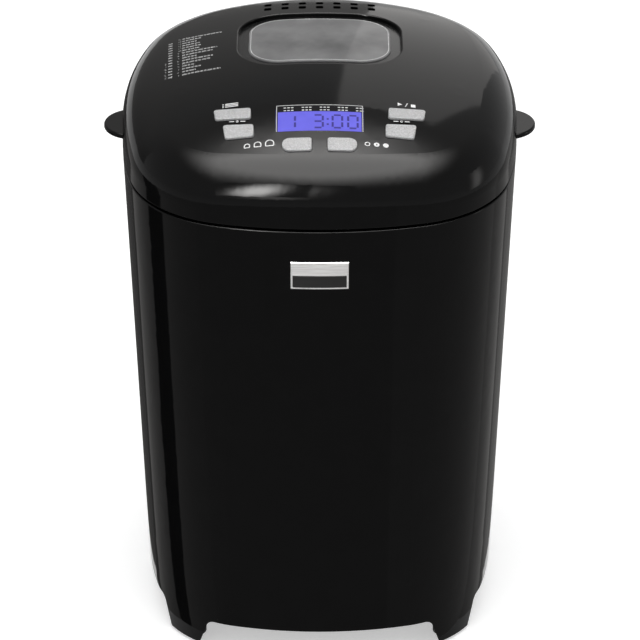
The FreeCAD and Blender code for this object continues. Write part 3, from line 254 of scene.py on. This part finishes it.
NODE_MATERIALS = {
    GLOSS_BLACK: ["body_shell"],
    LID_BLACK: ["lid_shell"],
    FRAME_GREY: ["window_frame"],
    SATIN_BLACK: ["base_plate", "top_deck", "lid_liner", "cord_gland", "push_switches", "capacitor"],
    RUBBER: ["rubber_feet", "drive_belt"],
    SILVER: ["menu_button", "time_button", "start_stop_button", "cycle_button", "loaf_size_button",
             "crust_color_button"],
    CREAM: ["motor_pulley", "motor_fan", "driven_pulley"],
    RELAY_BLUE: ["relay"],
    NONSTICK: ["bread_pan", "kneading_paddle"],
    LENS_BLACK: ["display_lens"],
    STEEL: ["chassis_plate", "chassis_posts", "base_screws", "lid_screws", "motor_screws", "motor_bracket",
            "hinge_pins", "heater_clips", "temperature_sensor", "thermal_fuse", "motor_shaft", "drive_shaft",
            "pan_shaft", "pan_handle"],
    CHAMBER: ["oven_chamber"],
    ELEMENT: ["heating_element"],
    CAST: ["pan_socket", "pan_base_ring", "lower_coupling", "upper_coupling"],
    BRASS: ["shaft_bearing", "pan_bush"],
    IRON: ["motor_body", "transformer"],
    GLASS: ["window_pane", "window_inner_pane"],
    LCD_BLUE: ["lcd_module"],
    BOARD: ["control_board", "power_board"],
}


def dress_nodes():
    for material, names in NODE_MATERIALS.items():
        for name in names:
            mesh = nodes[name].data
            mesh.materials.clear()
            mesh.materials.append(material)
            mesh.shade_smooth()
            mesh.set_sharp_from_angle(angle=NODE_SMOOTH_ANGLE)


# Strokes printed on the crown


def on_crown(x, y, rise):
    """Point above the crown at a place in plan, measured from the middle of the body."""
    flat = Vector((x, y - SETBACK, 0.0)) - Vector((CROWN_CENTRE.x, CROWN_CENTRE.y, 0.0))
    z = math.sqrt(CROWN_RADIUS ** 2 - flat.length_squared)
    out = Vector((flat.x, flat.y, z)).normalized()
    return CROWN_CENTRE + out * (CROWN_RADIUS + rise)


def add_walls(mesh, lower, upper):
    """Faces between two rings of points."""
    count = len(lower)
    for i in range(count):
        j = (i + 1) % count
        mesh.faces.new((lower[i], lower[j], upper[j], upper[i]))


def print_slab(mesh, corners, rise=PRINT_PROUD):
    """Thin closed slab on the crown whose outline is given by plan corners in order."""
    upper = [mesh.verts.new(on_crown(x, y, rise)) for x, y in corners]
    lower = [mesh.verts.new(on_crown(x, y, rise - PRINT_DEPTH)) for x, y in corners]
    mesh.faces.new(upper)
    mesh.faces.new(list(reversed(lower)))
    add_walls(mesh, lower, upper)


def rectangle(mesh, x0, y0, x1, y1, rise=PRINT_PROUD):
    print_slab(mesh, [(x0, y0), (x1, y0), (x1, y1), (x0, y1)], rise)


def bar(mesh, x0, y0, x1, y1, width, rise=PRINT_PROUD):
    """Straight stroke of a given width between two plan points."""
    along = Vector((x1 - x0, y1 - y0)).normalized()
    side = Vector((-along.y, along.x)) * (width / 2)
    corners = [(x0 - side.x, y0 - side.y), (x1 - side.x, y1 - side.y),
               (x1 + side.x, y1 + side.y), (x0 + side.x, y0 + side.y)]
    print_slab(mesh, corners, rise)


def long_bar(mesh, x0, y0, x1, y1, width, rise):
    """Straight stroke in short lengths, so that it follows the crown."""
    steps = 12
    points = [(x0 + (x1 - x0) * i / steps, y0 + (y1 - y0) * i / steps) for i in range(steps + 1)]
    for near, far in zip(points, points[1:]):
        bar(mesh, *near, *far, width, rise)


def arc_stroke(mesh, x, y, radius, start, stop, width, steps):
    """Stroke of a given width along an arc between two angles in degrees."""
    inner = radius - width / 2
    outer = radius + width / 2
    turns = [math.radians(start + (stop - start) * i / steps) for i in range(steps + 1)]
    for a, b in zip(turns, turns[1:]):
        ends = ((inner, a), (outer, a), (outer, b), (inner, b))
        print_slab(mesh, [(x + reach * math.cos(turn), y + reach * math.sin(turn)) for reach, turn in ends])


SEGMENTS = {"0": "abcdef", "1": "bc", "2": "abged", "3": "abgcd", "4": "fgbc", "5": "afgcd", "6": "afgedc",
            "7": "abc", "8": "abcdefg", "9": "abcdfg"}
SEGMENT_TRIM = 0.62


def digit(mesh, symbol, x, y, width, height, stroke, rise=PRINT_PROUD):
    """Seven-segment figure whose lower left corner is at x, y."""
    left, right = x + stroke / 2, x + width - stroke / 2
    low, middle, high = y + stroke / 2, y + height / 2, y + height - stroke / 2
    trim = stroke * SEGMENT_TRIM
    lines = {"a": (left + trim, high, right - trim, high), "g": (left + trim, middle, right - trim, middle),
             "d": (left + trim, low, right - trim, low), "f": (left, middle + trim, left, high - trim),
             "b": (right, middle + trim, right, high - trim), "e": (left, low + trim, left, middle - trim),
             "c": (right, low + trim, right, middle - trim)}
    for key in SEGMENTS[symbol]:
        bar(mesh, *lines[key], stroke, rise)


# Display

LCD_LEFT, LCD_RIGHT = -0.0238, 0.0238
LCD_FRONT, LCD_REAR = -0.0776, -0.0612
STRIP_REAR = -0.0560
FIELD_RISE = -0.00020
LINE_RISE = -0.00018
FIGURE_RISE = -0.00012


def display_field(mesh):
    """Back-lit field, drawn as small patches so that it follows the crown."""
    columns, rows = 12, 4
    step_x = (LCD_RIGHT - LCD_LEFT) / columns
    step_y = (LCD_REAR - LCD_FRONT) / rows
    for column in range(columns):
        x = LCD_LEFT + step_x * column
        for row in range(rows):
            y = LCD_FRONT + step_y * row
            rectangle(mesh, x, y, x + step_x, y + step_y, FIELD_RISE)


def display_digits(mesh):
    """Number of the program and the time, with a colon."""
    height, width, stroke = 0.0118, 0.0066, 0.0012
    base = LCD_FRONT + 0.0018
    colon_left, colon_right = 0.0040, 0.0052
    for symbol, x in (("1", -0.0200), ("3", -0.0042), ("0", 0.0068), ("0", 0.0156)):
        digit(mesh, symbol, x, base, width, height, stroke, FIGURE_RISE)
    for lift in (0.0034, 0.0078):
        bar(mesh, colon_left, base + lift, colon_right, base + lift, stroke, FIGURE_RISE)


def display_frame(mesh):
    """Fine light line round the display."""
    half, margin, line = 0.0245, 0.0006, 0.00035
    front = LCD_FRONT - margin
    rear = STRIP_REAR + margin
    for ends in ((-half, front, half, front), (-half, rear, half, rear),
                 (-half, front, -half, rear), (half, front, half, rear)):
        long_bar(mesh, *ends, line, LINE_RISE)


def display_marks(mesh):
    """Two rows of tiny stage marks over the field, in five groups of three."""
    first, group_pitch = -0.0205, 0.0103
    mark_pitch, mark_length, mark_height = 0.0021, 0.0014, 0.0007
    for lift in (0.0012, 0.0036):
        y = LCD_REAR + lift
        for group in range(5):
            for mark in range(3):
                x = first + group * group_pitch + mark * mark_pitch
                bar(mesh, x, y, x + mark_length, y, mark_height, LINE_RISE)


# Signs beside the buttons


def menu_sign(mesh):
    """Three rows of a list, each with its dot."""
    rear, pitch, line = -0.0492, 0.0013, 0.0007
    for row in range(3):
        y = rear - pitch * row
        for left, right in ((-0.0556, -0.0549), (-0.0541, -0.0466)):
            bar(mesh, left, y, right, y, line)


def gap_sign(mesh, x, y, lean, start, stop):
    """Small ring between two angles, with a dash on each side, in the leaning gap between two buttons."""
    dash_start, dash_end, dash_width = 0.0018, 0.0046, 0.0006
    radius, line, steps = 0.00062, 0.0003, 12
    for side in (-1, 1):
        near, far = side * dash_start, side * dash_end
        bar(mesh, x + near, y + lean * near, x + far, y + lean * far, dash_width)
    arc_stroke(mesh, x, y, radius, start, stop, line, steps)


def time_sign(mesh):
    """Clock face in the gap between the two buttons at the left."""
    x, y, lean = -0.0468, -0.06593, -0.139
    long_hand, short_hand, line = 0.0004, 0.0003, 0.0002
    gap_sign(mesh, x, y, lean, 0, 360)
    bar(mesh, x, y, x, y + long_hand, line)
    bar(mesh, x, y, x + short_hand, y, line)


def start_sign(mesh):
    """Run and halt signs with a stroke between them."""
    y = -0.0508
    run_left, run_right, run_half = 0.0446, 0.0473, 0.0015
    stroke_left, stroke_right, stroke_half, line = 0.0490, 0.0502, 0.0016, 0.0005
    halt_left, halt_right, halt_half = 0.0522, 0.0548, 0.0013
    print_slab(mesh, [(run_left, y - run_half), (run_left, y + run_half), (run_right, y)])
    bar(mesh, stroke_left, y - stroke_half, stroke_right, y + stroke_half, line)
    rectangle(mesh, halt_left, y - halt_half, halt_right, y + halt_half)


def cycle_sign(mesh):
    """Round arrow in the gap between the two buttons at the right."""
    x, y, lean = 0.0466, -0.06603, 0.125
    head = ((0.0002, 0.0003), (0.0009, 0.0003), (0.0006, 0.0008))
    gap_sign(mesh, x, y, lean, 40, 320)
    print_slab(mesh, [(x + right, y + back) for right, back in head])


def loaf_sign(mesh):
    """Three loaf outlines of rising size."""
    x, y = -0.0425, -0.0884
    line, gap, wall_share, steps = 0.0006, 0.0026, 0.45, 8
    for size in (0.0030, 0.0038, 0.0046):
        wall = size * wall_share
        bar(mesh, x, y, x + size, y, line)
        bar(mesh, x, y, x, y + wall, line)
        bar(mesh, x + size, y, x + size, y + wall, line)
        arc_stroke(mesh, x + size / 2, y + wall, size / 2, 0, 180, line, steps)
        x += size + gap


def color_sign(mesh):
    """Three dots, open to filled, for light to dark crust."""
    first, y, pitch = 0.0270, -0.0872, 0.0052
    radius, steps = 0.0016, 14
    for i, filled in enumerate((0.35, 0.70, 1.0)):
        width = radius * filled
        arc_stroke(mesh, first + pitch * i, y, radius - width / 2, 0, 360, width, steps)


# Painted highlight round the window glass: a light line that stands in for its bright edge

GLASS_HALF_WIDTH = 0.04177
GLASS_HALF_DEPTH = 0.03127
GLASS_CORNER = 0.01977
GLASS_MIDDLE = 0.0245
GLASS_RISE = -0.0017
# Insets of the painted highlight line on the glass, from its edge
WINDOW_HIGHLIGHT_OUTER = 0.0009
WINDOW_HIGHLIGHT_INNER = 0.0012


def rounded_outline(inset):
    """Plan points round the glass, a given distance inside its edge."""
    steps = 12
    corner = GLASS_CORNER - inset
    reach_x = GLASS_HALF_WIDTH - GLASS_CORNER
    reach_y = GLASS_HALF_DEPTH - GLASS_CORNER
    points = []
    for quarter, (sx, sy) in enumerate(((1, 1), (-1, 1), (-1, -1), (1, -1))):
        for i in range(steps + 1):
            a = math.radians(90.0 * (quarter + i / steps))
            points.append((sx * reach_x + corner * math.cos(a),
                           GLASS_MIDDLE + sy * reach_y + corner * math.sin(a)))
    return points


def subdivided(points):
    """Closed outline with its long straight runs cut into short ones."""
    longest = 0.003
    fine = []
    for i, (x0, y0) in enumerate(points):
        x1, y1 = points[(i + 1) % len(points)]
        pieces = max(1, math.ceil(math.hypot(x1 - x0, y1 - y0) / longest))
        fine += [(x0 + (x1 - x0) * k / pieces, y0 + (y1 - y0) * k / pieces) for k in range(pieces)]
    return fine


def window_edge_highlight(mesh):
    """Painted highlight: fine light line just inside the edge of the glass, in place of the light its edge
    catches.
    """
    outer = subdivided(rounded_outline(WINDOW_HIGHLIGHT_OUTER))
    inner = subdivided(rounded_outline(WINDOW_HIGHLIGHT_INNER))
    count = len(outer)
    for i in range(count):
        j = (i + 1) % count
        print_slab(mesh, [outer[i], outer[j], inner[j], inner[i]], GLASS_RISE + PRINT_PROUD)


# List of programs at the left of the window

PROGRAM_LEFT = -0.0816
PROGRAM_FRONT = -0.0098
PROGRAM_PITCH = 0.00356
PROGRAM_LEAN = 0.03
PROGRAM_LENGTHS = (0.0225, 0.0080, 0.0110, 0.0075, 0.0165, 0.0180, 0.0085, 0.0180,
                   0.0205, 0.0105, 0.0110, 0.0105, 0.0085, 0.0115, 0.0235)
TIMES_LEFT = -0.0882
TIMES_ROWS = 14
TIMES_NUMBERED = 6
NUMBER_HEIGHT = 0.0022
NUMBER_LINE = 0.0004


def program_place(row, x):
    """Plan point in a row of the list, which leans a little towards the left at the rear."""
    y = PROGRAM_FRONT + row * PROGRAM_PITCH
    return x - PROGRAM_LEAN * (y - PROGRAM_FRONT), y


def row_number(mesh, symbol, x, y, width):
    """Small figure in the middle of a row."""
    digit(mesh, symbol, x, y - NUMBER_HEIGHT / 2, width, NUMBER_HEIGHT, NUMBER_LINE)


def program_list(mesh):
    """Numbered rows of plain dashes."""
    number_width, number_pitch = 0.0010, 0.0012
    indent, gap, dash_height = 0.0016, 0.0005, 0.0016
    short_dash, long_dash = 0.0016, 0.0027
    for row, length in enumerate(PROGRAM_LENGTHS):
        x, y = program_place(row, PROGRAM_LEFT)
        for place, symbol in enumerate(str(row + 1)):
            row_number(mesh, symbol, x + number_pitch * (place - 1), y, number_width)
        start = x + indent
        end = start + length
        step = 0
        while start < end:
            dash = short_dash if (row + step) % 3 else long_dash
            bar(mesh, start, y, min(start + dash, end), y, dash_height)
            start += dash + gap
            step += 1


def program_times(mesh):
    """Column of short marks beside the list, the first rows with a number."""
    mark_length, mark_height = 0.0024, 0.0015
    number_width, number_reach = 0.0013, 0.0024
    for row in range(TIMES_ROWS):
        x, y = program_place(row, TIMES_LEFT)
        bar(mesh, x, y, x + mark_length, y, mark_height)
        if row < TIMES_NUMBERED:
            row_number(mesh, str((row * 2 + 3) % 10), x - number_reach, y, number_width)


# Bare plate on the front

PLATE_HALF = 0.0165
PLATE_LOW = 0.2633
PLATE_HIGH = 0.2809
PLATE_PROUD = 0.0007
PLATE_SUNK = 0.0004
PLATE_BEVEL = 0.0003
FIELD_MARGIN = 0.0009
FIELD_SHARE = 0.52
FIELD_PROUD = 0.00012


def on_front(x, z, rise):
    """Point on the front wall, which is bowed and leans out towards the top."""
    half = FLOOR_HALF + (PLAN_HALF - FLOOR_HALF) * z / SEAM_HEIGHT
    bow = SIDE_RADIUS * half / PLAN_HALF
    y = -half + bow - math.sqrt(bow * bow - x * x)
    return Vector((x, y - rise - SETBACK, z))


def plate_field(mesh, x0, x1, z0, z1, rise, sunk):
    """Bowed slab over a rectangle of the front wall, with a narrow bevel at its edge."""
    steps = 12
    bevel = min(PLATE_BEVEL, rise / 2)
    rings = []
    for inset, lift in ((0.0, -sunk), (0.0, rise - bevel), (bevel, rise)):
        run = x1 - x0 - 2 * inset
        low = [on_front(x0 + inset + run * i / steps, z0 + inset, lift) for i in range(steps + 1)]
        high = [on_front(x1 - inset - run * i / steps, z1 - inset, lift) for i in range(steps + 1)]
        rings.append([mesh.verts.new(point) for point in low + high])
    for lower, upper in zip(rings, rings[1:]):
        add_walls(mesh, lower, upper)
    last = len(rings[0]) - 1
    for ring, flip in ((rings[-1], False), (rings[0], True)):
        for i in range(steps):
            quad = [ring[i], ring[i + 1], ring[last - 1 - i], ring[last - i]]
            mesh.faces.new(list(reversed(quad)) if flip else quad)


def badge_plate(mesh):
    plate_field(mesh, -PLATE_HALF, PLATE_HALF, PLATE_LOW, PLATE_HIGH, PLATE_PROUD, PLATE_SUNK)


def badge_field(mesh):
    """Dark field in the lower part of the plate."""
    half = PLATE_HALF - FIELD_MARGIN
    low = PLATE_LOW + FIELD_MARGIN
    high = PLATE_LOW + FIELD_SHARE * (PLATE_HIGH - PLATE_LOW)
    plate_field(mesh, -half, half, low, high, PLATE_PROUD + FIELD_PROUD, -PLATE_PROUD / 2)


def make_piece(name, body, material, build, smooth=False):
    """Piece drawn by a build function, which rides on a body and takes a material."""
    mesh = bmesh.new()
    build(mesh)
    bmesh.ops.recalc_face_normals(mesh, faces=mesh.faces)
    data = bpy.data.meshes.new(name)
    mesh.to_mesh(data)
    mesh.free()
    if smooth:
        data.shade_smooth()
        data.set_sharp_from_angle(angle=PIECE_SMOOTH_ANGLE)
    data.materials.append(material)
    piece = bpy.data.objects.new(name, data)
    bpy.context.scene.collection.objects.link(piece)
    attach(piece, body)


def add_pieces():
    make_piece("display_field", "lid", LCD_BLUE, display_field)
    make_piece("display_digits", "lid", LCD_DIGIT, display_digits)
    make_piece("display_frame_line", "lid", GREY_PRINT_AND_HIGHLIGHT, display_frame)
    make_piece("display_stage_marks", "lid", GREY_PRINT_AND_HIGHLIGHT, display_marks)
    make_piece("menu_sign", "lid", PRINT_WHITE, menu_sign)
    make_piece("time_sign", "lid", PRINT_WHITE, time_sign)
    make_piece("start_stop_sign", "lid", PRINT_WHITE, start_sign)
    make_piece("cycle_sign", "lid", PRINT_WHITE, cycle_sign)
    make_piece("loaf_size_sign", "lid", PRINT_WHITE, loaf_sign)
    make_piece("crust_color_sign", "lid", PRINT_WHITE, color_sign)
    # Painted highlight: a light grey line along the edge of the window glass
    make_piece("window_edge_highlight", "lid", GREY_PRINT_AND_HIGHLIGHT, window_edge_highlight)
    make_piece("program_list_print", "lid", PRINT_DIM, program_list)
    make_piece("program_times_print", "lid", PRINT_DIM, program_times)
    make_piece("front_plate", "machine", BADGE_SILVER, badge_plate, smooth=True)
    make_piece("front_plate_field", "machine", BADGE_DARK, badge_field, smooth=True)


# Stage: floor, cards, world, lamp and camera


def add_plane(name, corners, material):
    data = bpy.data.meshes.new(name)
    data.from_pydata([tuple(corner) for corner in corners], [], [tuple(range(len(corners)))])
    data.materials.append(material)
    plane = bpy.data.objects.new(name, data)
    bpy.context.scene.collection.objects.link(plane)
    return plane


def add_floor():
    material, tree, shader = new_material("floor_white")
    tone = mottled(tree, FLOOR_TONE_SCALE, (0.91, 0.91, 0.91), (0.93, 0.93, 0.93))
    tree.links.new(tone, shader.inputs["Base Color"])
    set_inputs(shader, {"Roughness": 0.9, "Specular IOR Level": 0.0})
    set_inputs(shader, {"Emission Color": (1.0, 1.0, 1.0, 1.0), "Emission Strength": FLOOR_GLOW})
    corners = [(-FLOOR_SIZE, -FLOOR_SIZE, 0), (FLOOR_SIZE, -FLOOR_SIZE, 0),
               (FLOOR_SIZE, FLOOR_SIZE, 0), (-FLOOR_SIZE, FLOOR_SIZE, 0)]
    add_plane("floor", corners, material)


CARD_TINT = (1.0, 0.985, 0.97, 1.0)
SOFT_EDGES = {"soft": 0.45, "spot": 0.8}


def card_material(name, level, edge, shape):
    """Lit card: flat, or rising from its low side to its high side, or fading from its middle to its edge."""
    material, tree, shader = new_material(name)
    set_inputs(shader, {"Base Color": (0.0, 0.0, 0.0, 1.0), "Specular IOR Level": 0.0})
    set_inputs(shader, {"Emission Color": CARD_TINT, "Emission Strength": level})
    if shape == "flat":
        return material
    place = tree.nodes.new("ShaderNodeTexCoord")
    fade = tree.nodes.new("ShaderNodeMapRange")
    fade.interpolation_type = "SMOOTHSTEP"
    set_inputs(fade, {"To Min": edge, "To Max": level})
    if shape == "rising":
        parts = tree.nodes.new("ShaderNodeSeparateXYZ")
        tree.links.new(place.outputs["Generated"], parts.inputs["Vector"])
        tree.links.new(parts.outputs["Z"], fade.inputs["Value"])
    else:
        ball = tree.nodes.new("ShaderNodeTexGradient")
        ball.gradient_type = "QUADRATIC_SPHERE"
        mapping = tree.nodes.new("ShaderNodeMapping")
        set_inputs(mapping, {"Location": (-1.0, -1.0, 0.0), "Scale": (2.0, 2.0, 0.0)})
        set_inputs(fade, {"From Max": SOFT_EDGES[shape]})
        tree.links.new(place.outputs["Generated"], mapping.inputs["Vector"])
        tree.links.new(mapping.outputs["Vector"], ball.inputs["Vector"])
        tree.links.new(ball.outputs["Fac"], fade.inputs["Value"])
    tree.links.new(fade.outputs["Result"], shader.inputs["Emission Strength"])
    return material


def add_card(name, corners, level, edge=1.0, shape="flat"):
    """Card that only reflections see."""
    card = add_plane(name, corners, card_material(name, level, edge, shape))
    card.visible_camera = False
    card.visible_diffuse = False
    card.visible_transmission = False
    card.visible_volume_scatter = False
    card.visible_shadow = False


def heading(turn, lift=0.0):
    """Unit vector: turn degrees from the front towards the left, lift degrees up."""
    a = math.radians(turn)
    b = math.radians(lift)
    return Vector((-math.sin(a) * math.cos(b), -math.cos(a) * math.cos(b), math.sin(b)))


def sky_card(name, turns, lifts, reach, level, edge, shape):
    """Flat card that fills a range of headings seen from the lid."""
    corners = [LID_MIDDLE + heading(turn, lift) * reach for turn, lift in
               ((turns[0], lifts[0]), (turns[1], lifts[0]), (turns[1], lifts[1]), (turns[0], lifts[1]))]
    add_card(name, corners, level, edge, shape)


FLOOR_CARD_HEIGHT = 0.0006
FLOOR_CARD_REACH = 1.2


def floor_card(name, first_point, last_point, turns, level):
    """Card on the floor that fans out from two points on the wall."""
    first = Vector((first_point[0], first_point[1] - SETBACK, FLOOR_CARD_HEIGHT))
    last = Vector((last_point[0], last_point[1] - SETBACK, FLOOR_CARD_HEIGHT))
    steps = 6
    fan = []
    for i in range(steps + 1):
        share = i / steps
        turn = turns[0] + (turns[1] - turns[0]) * share
        fan.append(first.lerp(last, share) + heading(turn) * FLOOR_CARD_REACH)
    add_card(name, [last, first] + fan, level)


# Points on the wall in plan, from the middle of the left side round the front to the middle of the right side
LEFT_MIDDLE = (-0.116, 0.0)
LEFT_BEND = (-0.113, -0.045)
LEFT_CORNER = (-0.0997, -0.0793)
LEFT_TURN = (-0.0914, -0.0897)
FRONT_LEFT = (-0.072, -0.108)
FRONT_RIGHT = (0.046, -0.115)
RIGHT_CORNER = (0.0997, -0.0793)
RIGHT_BEND = (0.113, -0.045)
RIGHT_MIDDLE = (0.116, 0.0)

FLOOR_CARDS = (
    ("front_floor_card", FRONT_LEFT, FRONT_RIGHT, (52.0, -22.0), 0.62),
    ("right_floor_card", FRONT_RIGHT, RIGHT_CORNER, (-22.0, -120.0), 0.75),
    ("left_floor_card", LEFT_TURN, FRONT_LEFT, (92.0, 52.0), 0.66),
    ("left_dark_card", LEFT_CORNER, LEFT_TURN, (114.0, 92.0), 0.0),
    ("left_grey_card", LEFT_BEND, LEFT_CORNER, (150.0, 114.0), 0.40),
    ("left_rear_card", LEFT_MIDDLE, LEFT_BEND, (180.0, 150.0), 0.08),
    ("right_grey_card", RIGHT_CORNER, RIGHT_BEND, (-120.0, -150.0), 0.55),
    ("right_rear_card", RIGHT_BEND, RIGHT_MIDDLE, (-150.0, -180.0), 0.20),
)


def add_cards():
    front = Vector((0.0, -1.80, 0.90))
    rear = Vector((0.0, 1.65, 2.22))
    side = Vector((1.42, 0.0, 0.0))
    add_card("front_top_card", [front - side, front + side, rear + side, rear - side],
             level=23.0, edge=1.0, shape="soft")
    sky_card("rear_right_card", turns=(184.0, 207.0), lifts=(0.0, 60.0), reach=2.6,
             level=3.6, edge=1.5, shape="rising")
    sky_card("rear_left_card", turns=(110.0, 184.0), lifts=(-2.0, 34.0), reach=2.8,
             level=1.0, edge=0.35, shape="rising")
    sky_card("streak_card", turns=(3.0, 34.0), lifts=(6.0, 33.0), reach=1.1,
             level=75.0, edge=1.0, shape="spot")
    sky_card("streak_tail_card", turns=(-12.0, 31.0), lifts=(1.0, 31.0), reach=1.2,
             level=14.0, edge=1.0, shape="spot")
    sky_card("right_glow_card", turns=(-98.0, -68.0), lifts=(-8.0, 18.0), reach=1.6,
             level=6.0, edge=1.0, shape="spot")
    for name, first_point, last_point, turns, level in FLOOR_CARDS:
        floor_card(name, first_point, last_point, turns, level)


def add_world():
    """White surroundings that light the part a little less than they are seen and reflected."""
    world = bpy.data.worlds.new("studio")
    bpy.context.scene.world = world
    world.use_nodes = True
    tree = world.node_tree
    shade = tree.nodes["Background"]
    path = tree.nodes.new("ShaderNodeLightPath")
    seen = tree.nodes.new("ShaderNodeMath")
    seen.operation = "MAXIMUM"
    seen_all = tree.nodes.new("ShaderNodeMath")
    seen_all.operation = "MAXIMUM"
    tree.links.new(path.outputs["Is Camera Ray"], seen.inputs[0])
    tree.links.new(path.outputs["Is Glossy Ray"], seen.inputs[1])
    tree.links.new(seen.outputs[0], seen_all.inputs[0])
    tree.links.new(path.outputs["Is Transmission Ray"], seen_all.inputs[1])
    strength = add_span(tree, seen_all.outputs[0], (WORLD_LEVEL, 1.0))
    tree.links.new(strength, shade.inputs["Strength"])
    set_inputs(shade, {"Color": (1.0, 1.0, 1.0, 1.0)})


def place_facing(holder, at, target):
    """Lamp or camera at a place, turned towards a target."""
    holder.location = at
    holder.rotation_euler = (target - at).to_track_quat("-Z", "Y").to_euler()
    bpy.context.scene.collection.objects.link(holder)


def add_lamp():
    """Soft lamp overhead for the shade on the floor and under the rims."""
    lamp = bpy.data.lights.new("overhead_lamp", "AREA")
    lamp.shape = "RECTANGLE"
    lamp.size = LAMP_SIZE
    lamp.size_y = LAMP_SIZE
    lamp.energy = LAMP_POWER
    holder = bpy.data.objects.new("overhead_lamp", lamp)
    holder.visible_camera = False
    holder.visible_glossy = False
    place_facing(holder, LAMP_AT, LID_MIDDLE)


def add_camera():
    data = bpy.data.cameras.new("photo_camera")
    data.lens = CAMERA_LENS
    data.shift_x = CAMERA_SHIFT
    data.sensor_width = SENSOR_WIDTH
    data.clip_end = CAMERA_REACH
    camera = bpy.data.objects.new("photo_camera", data)
    place_facing(camera, CAMERA_AT, CAMERA_AIM)
    bpy.context.scene.camera = camera


dress_nodes()
add_pieces()
add_floor()
add_cards()
add_world()
add_lamp()
add_camera()
bpy.context.scene.view_settings.view_transform = "Standard"
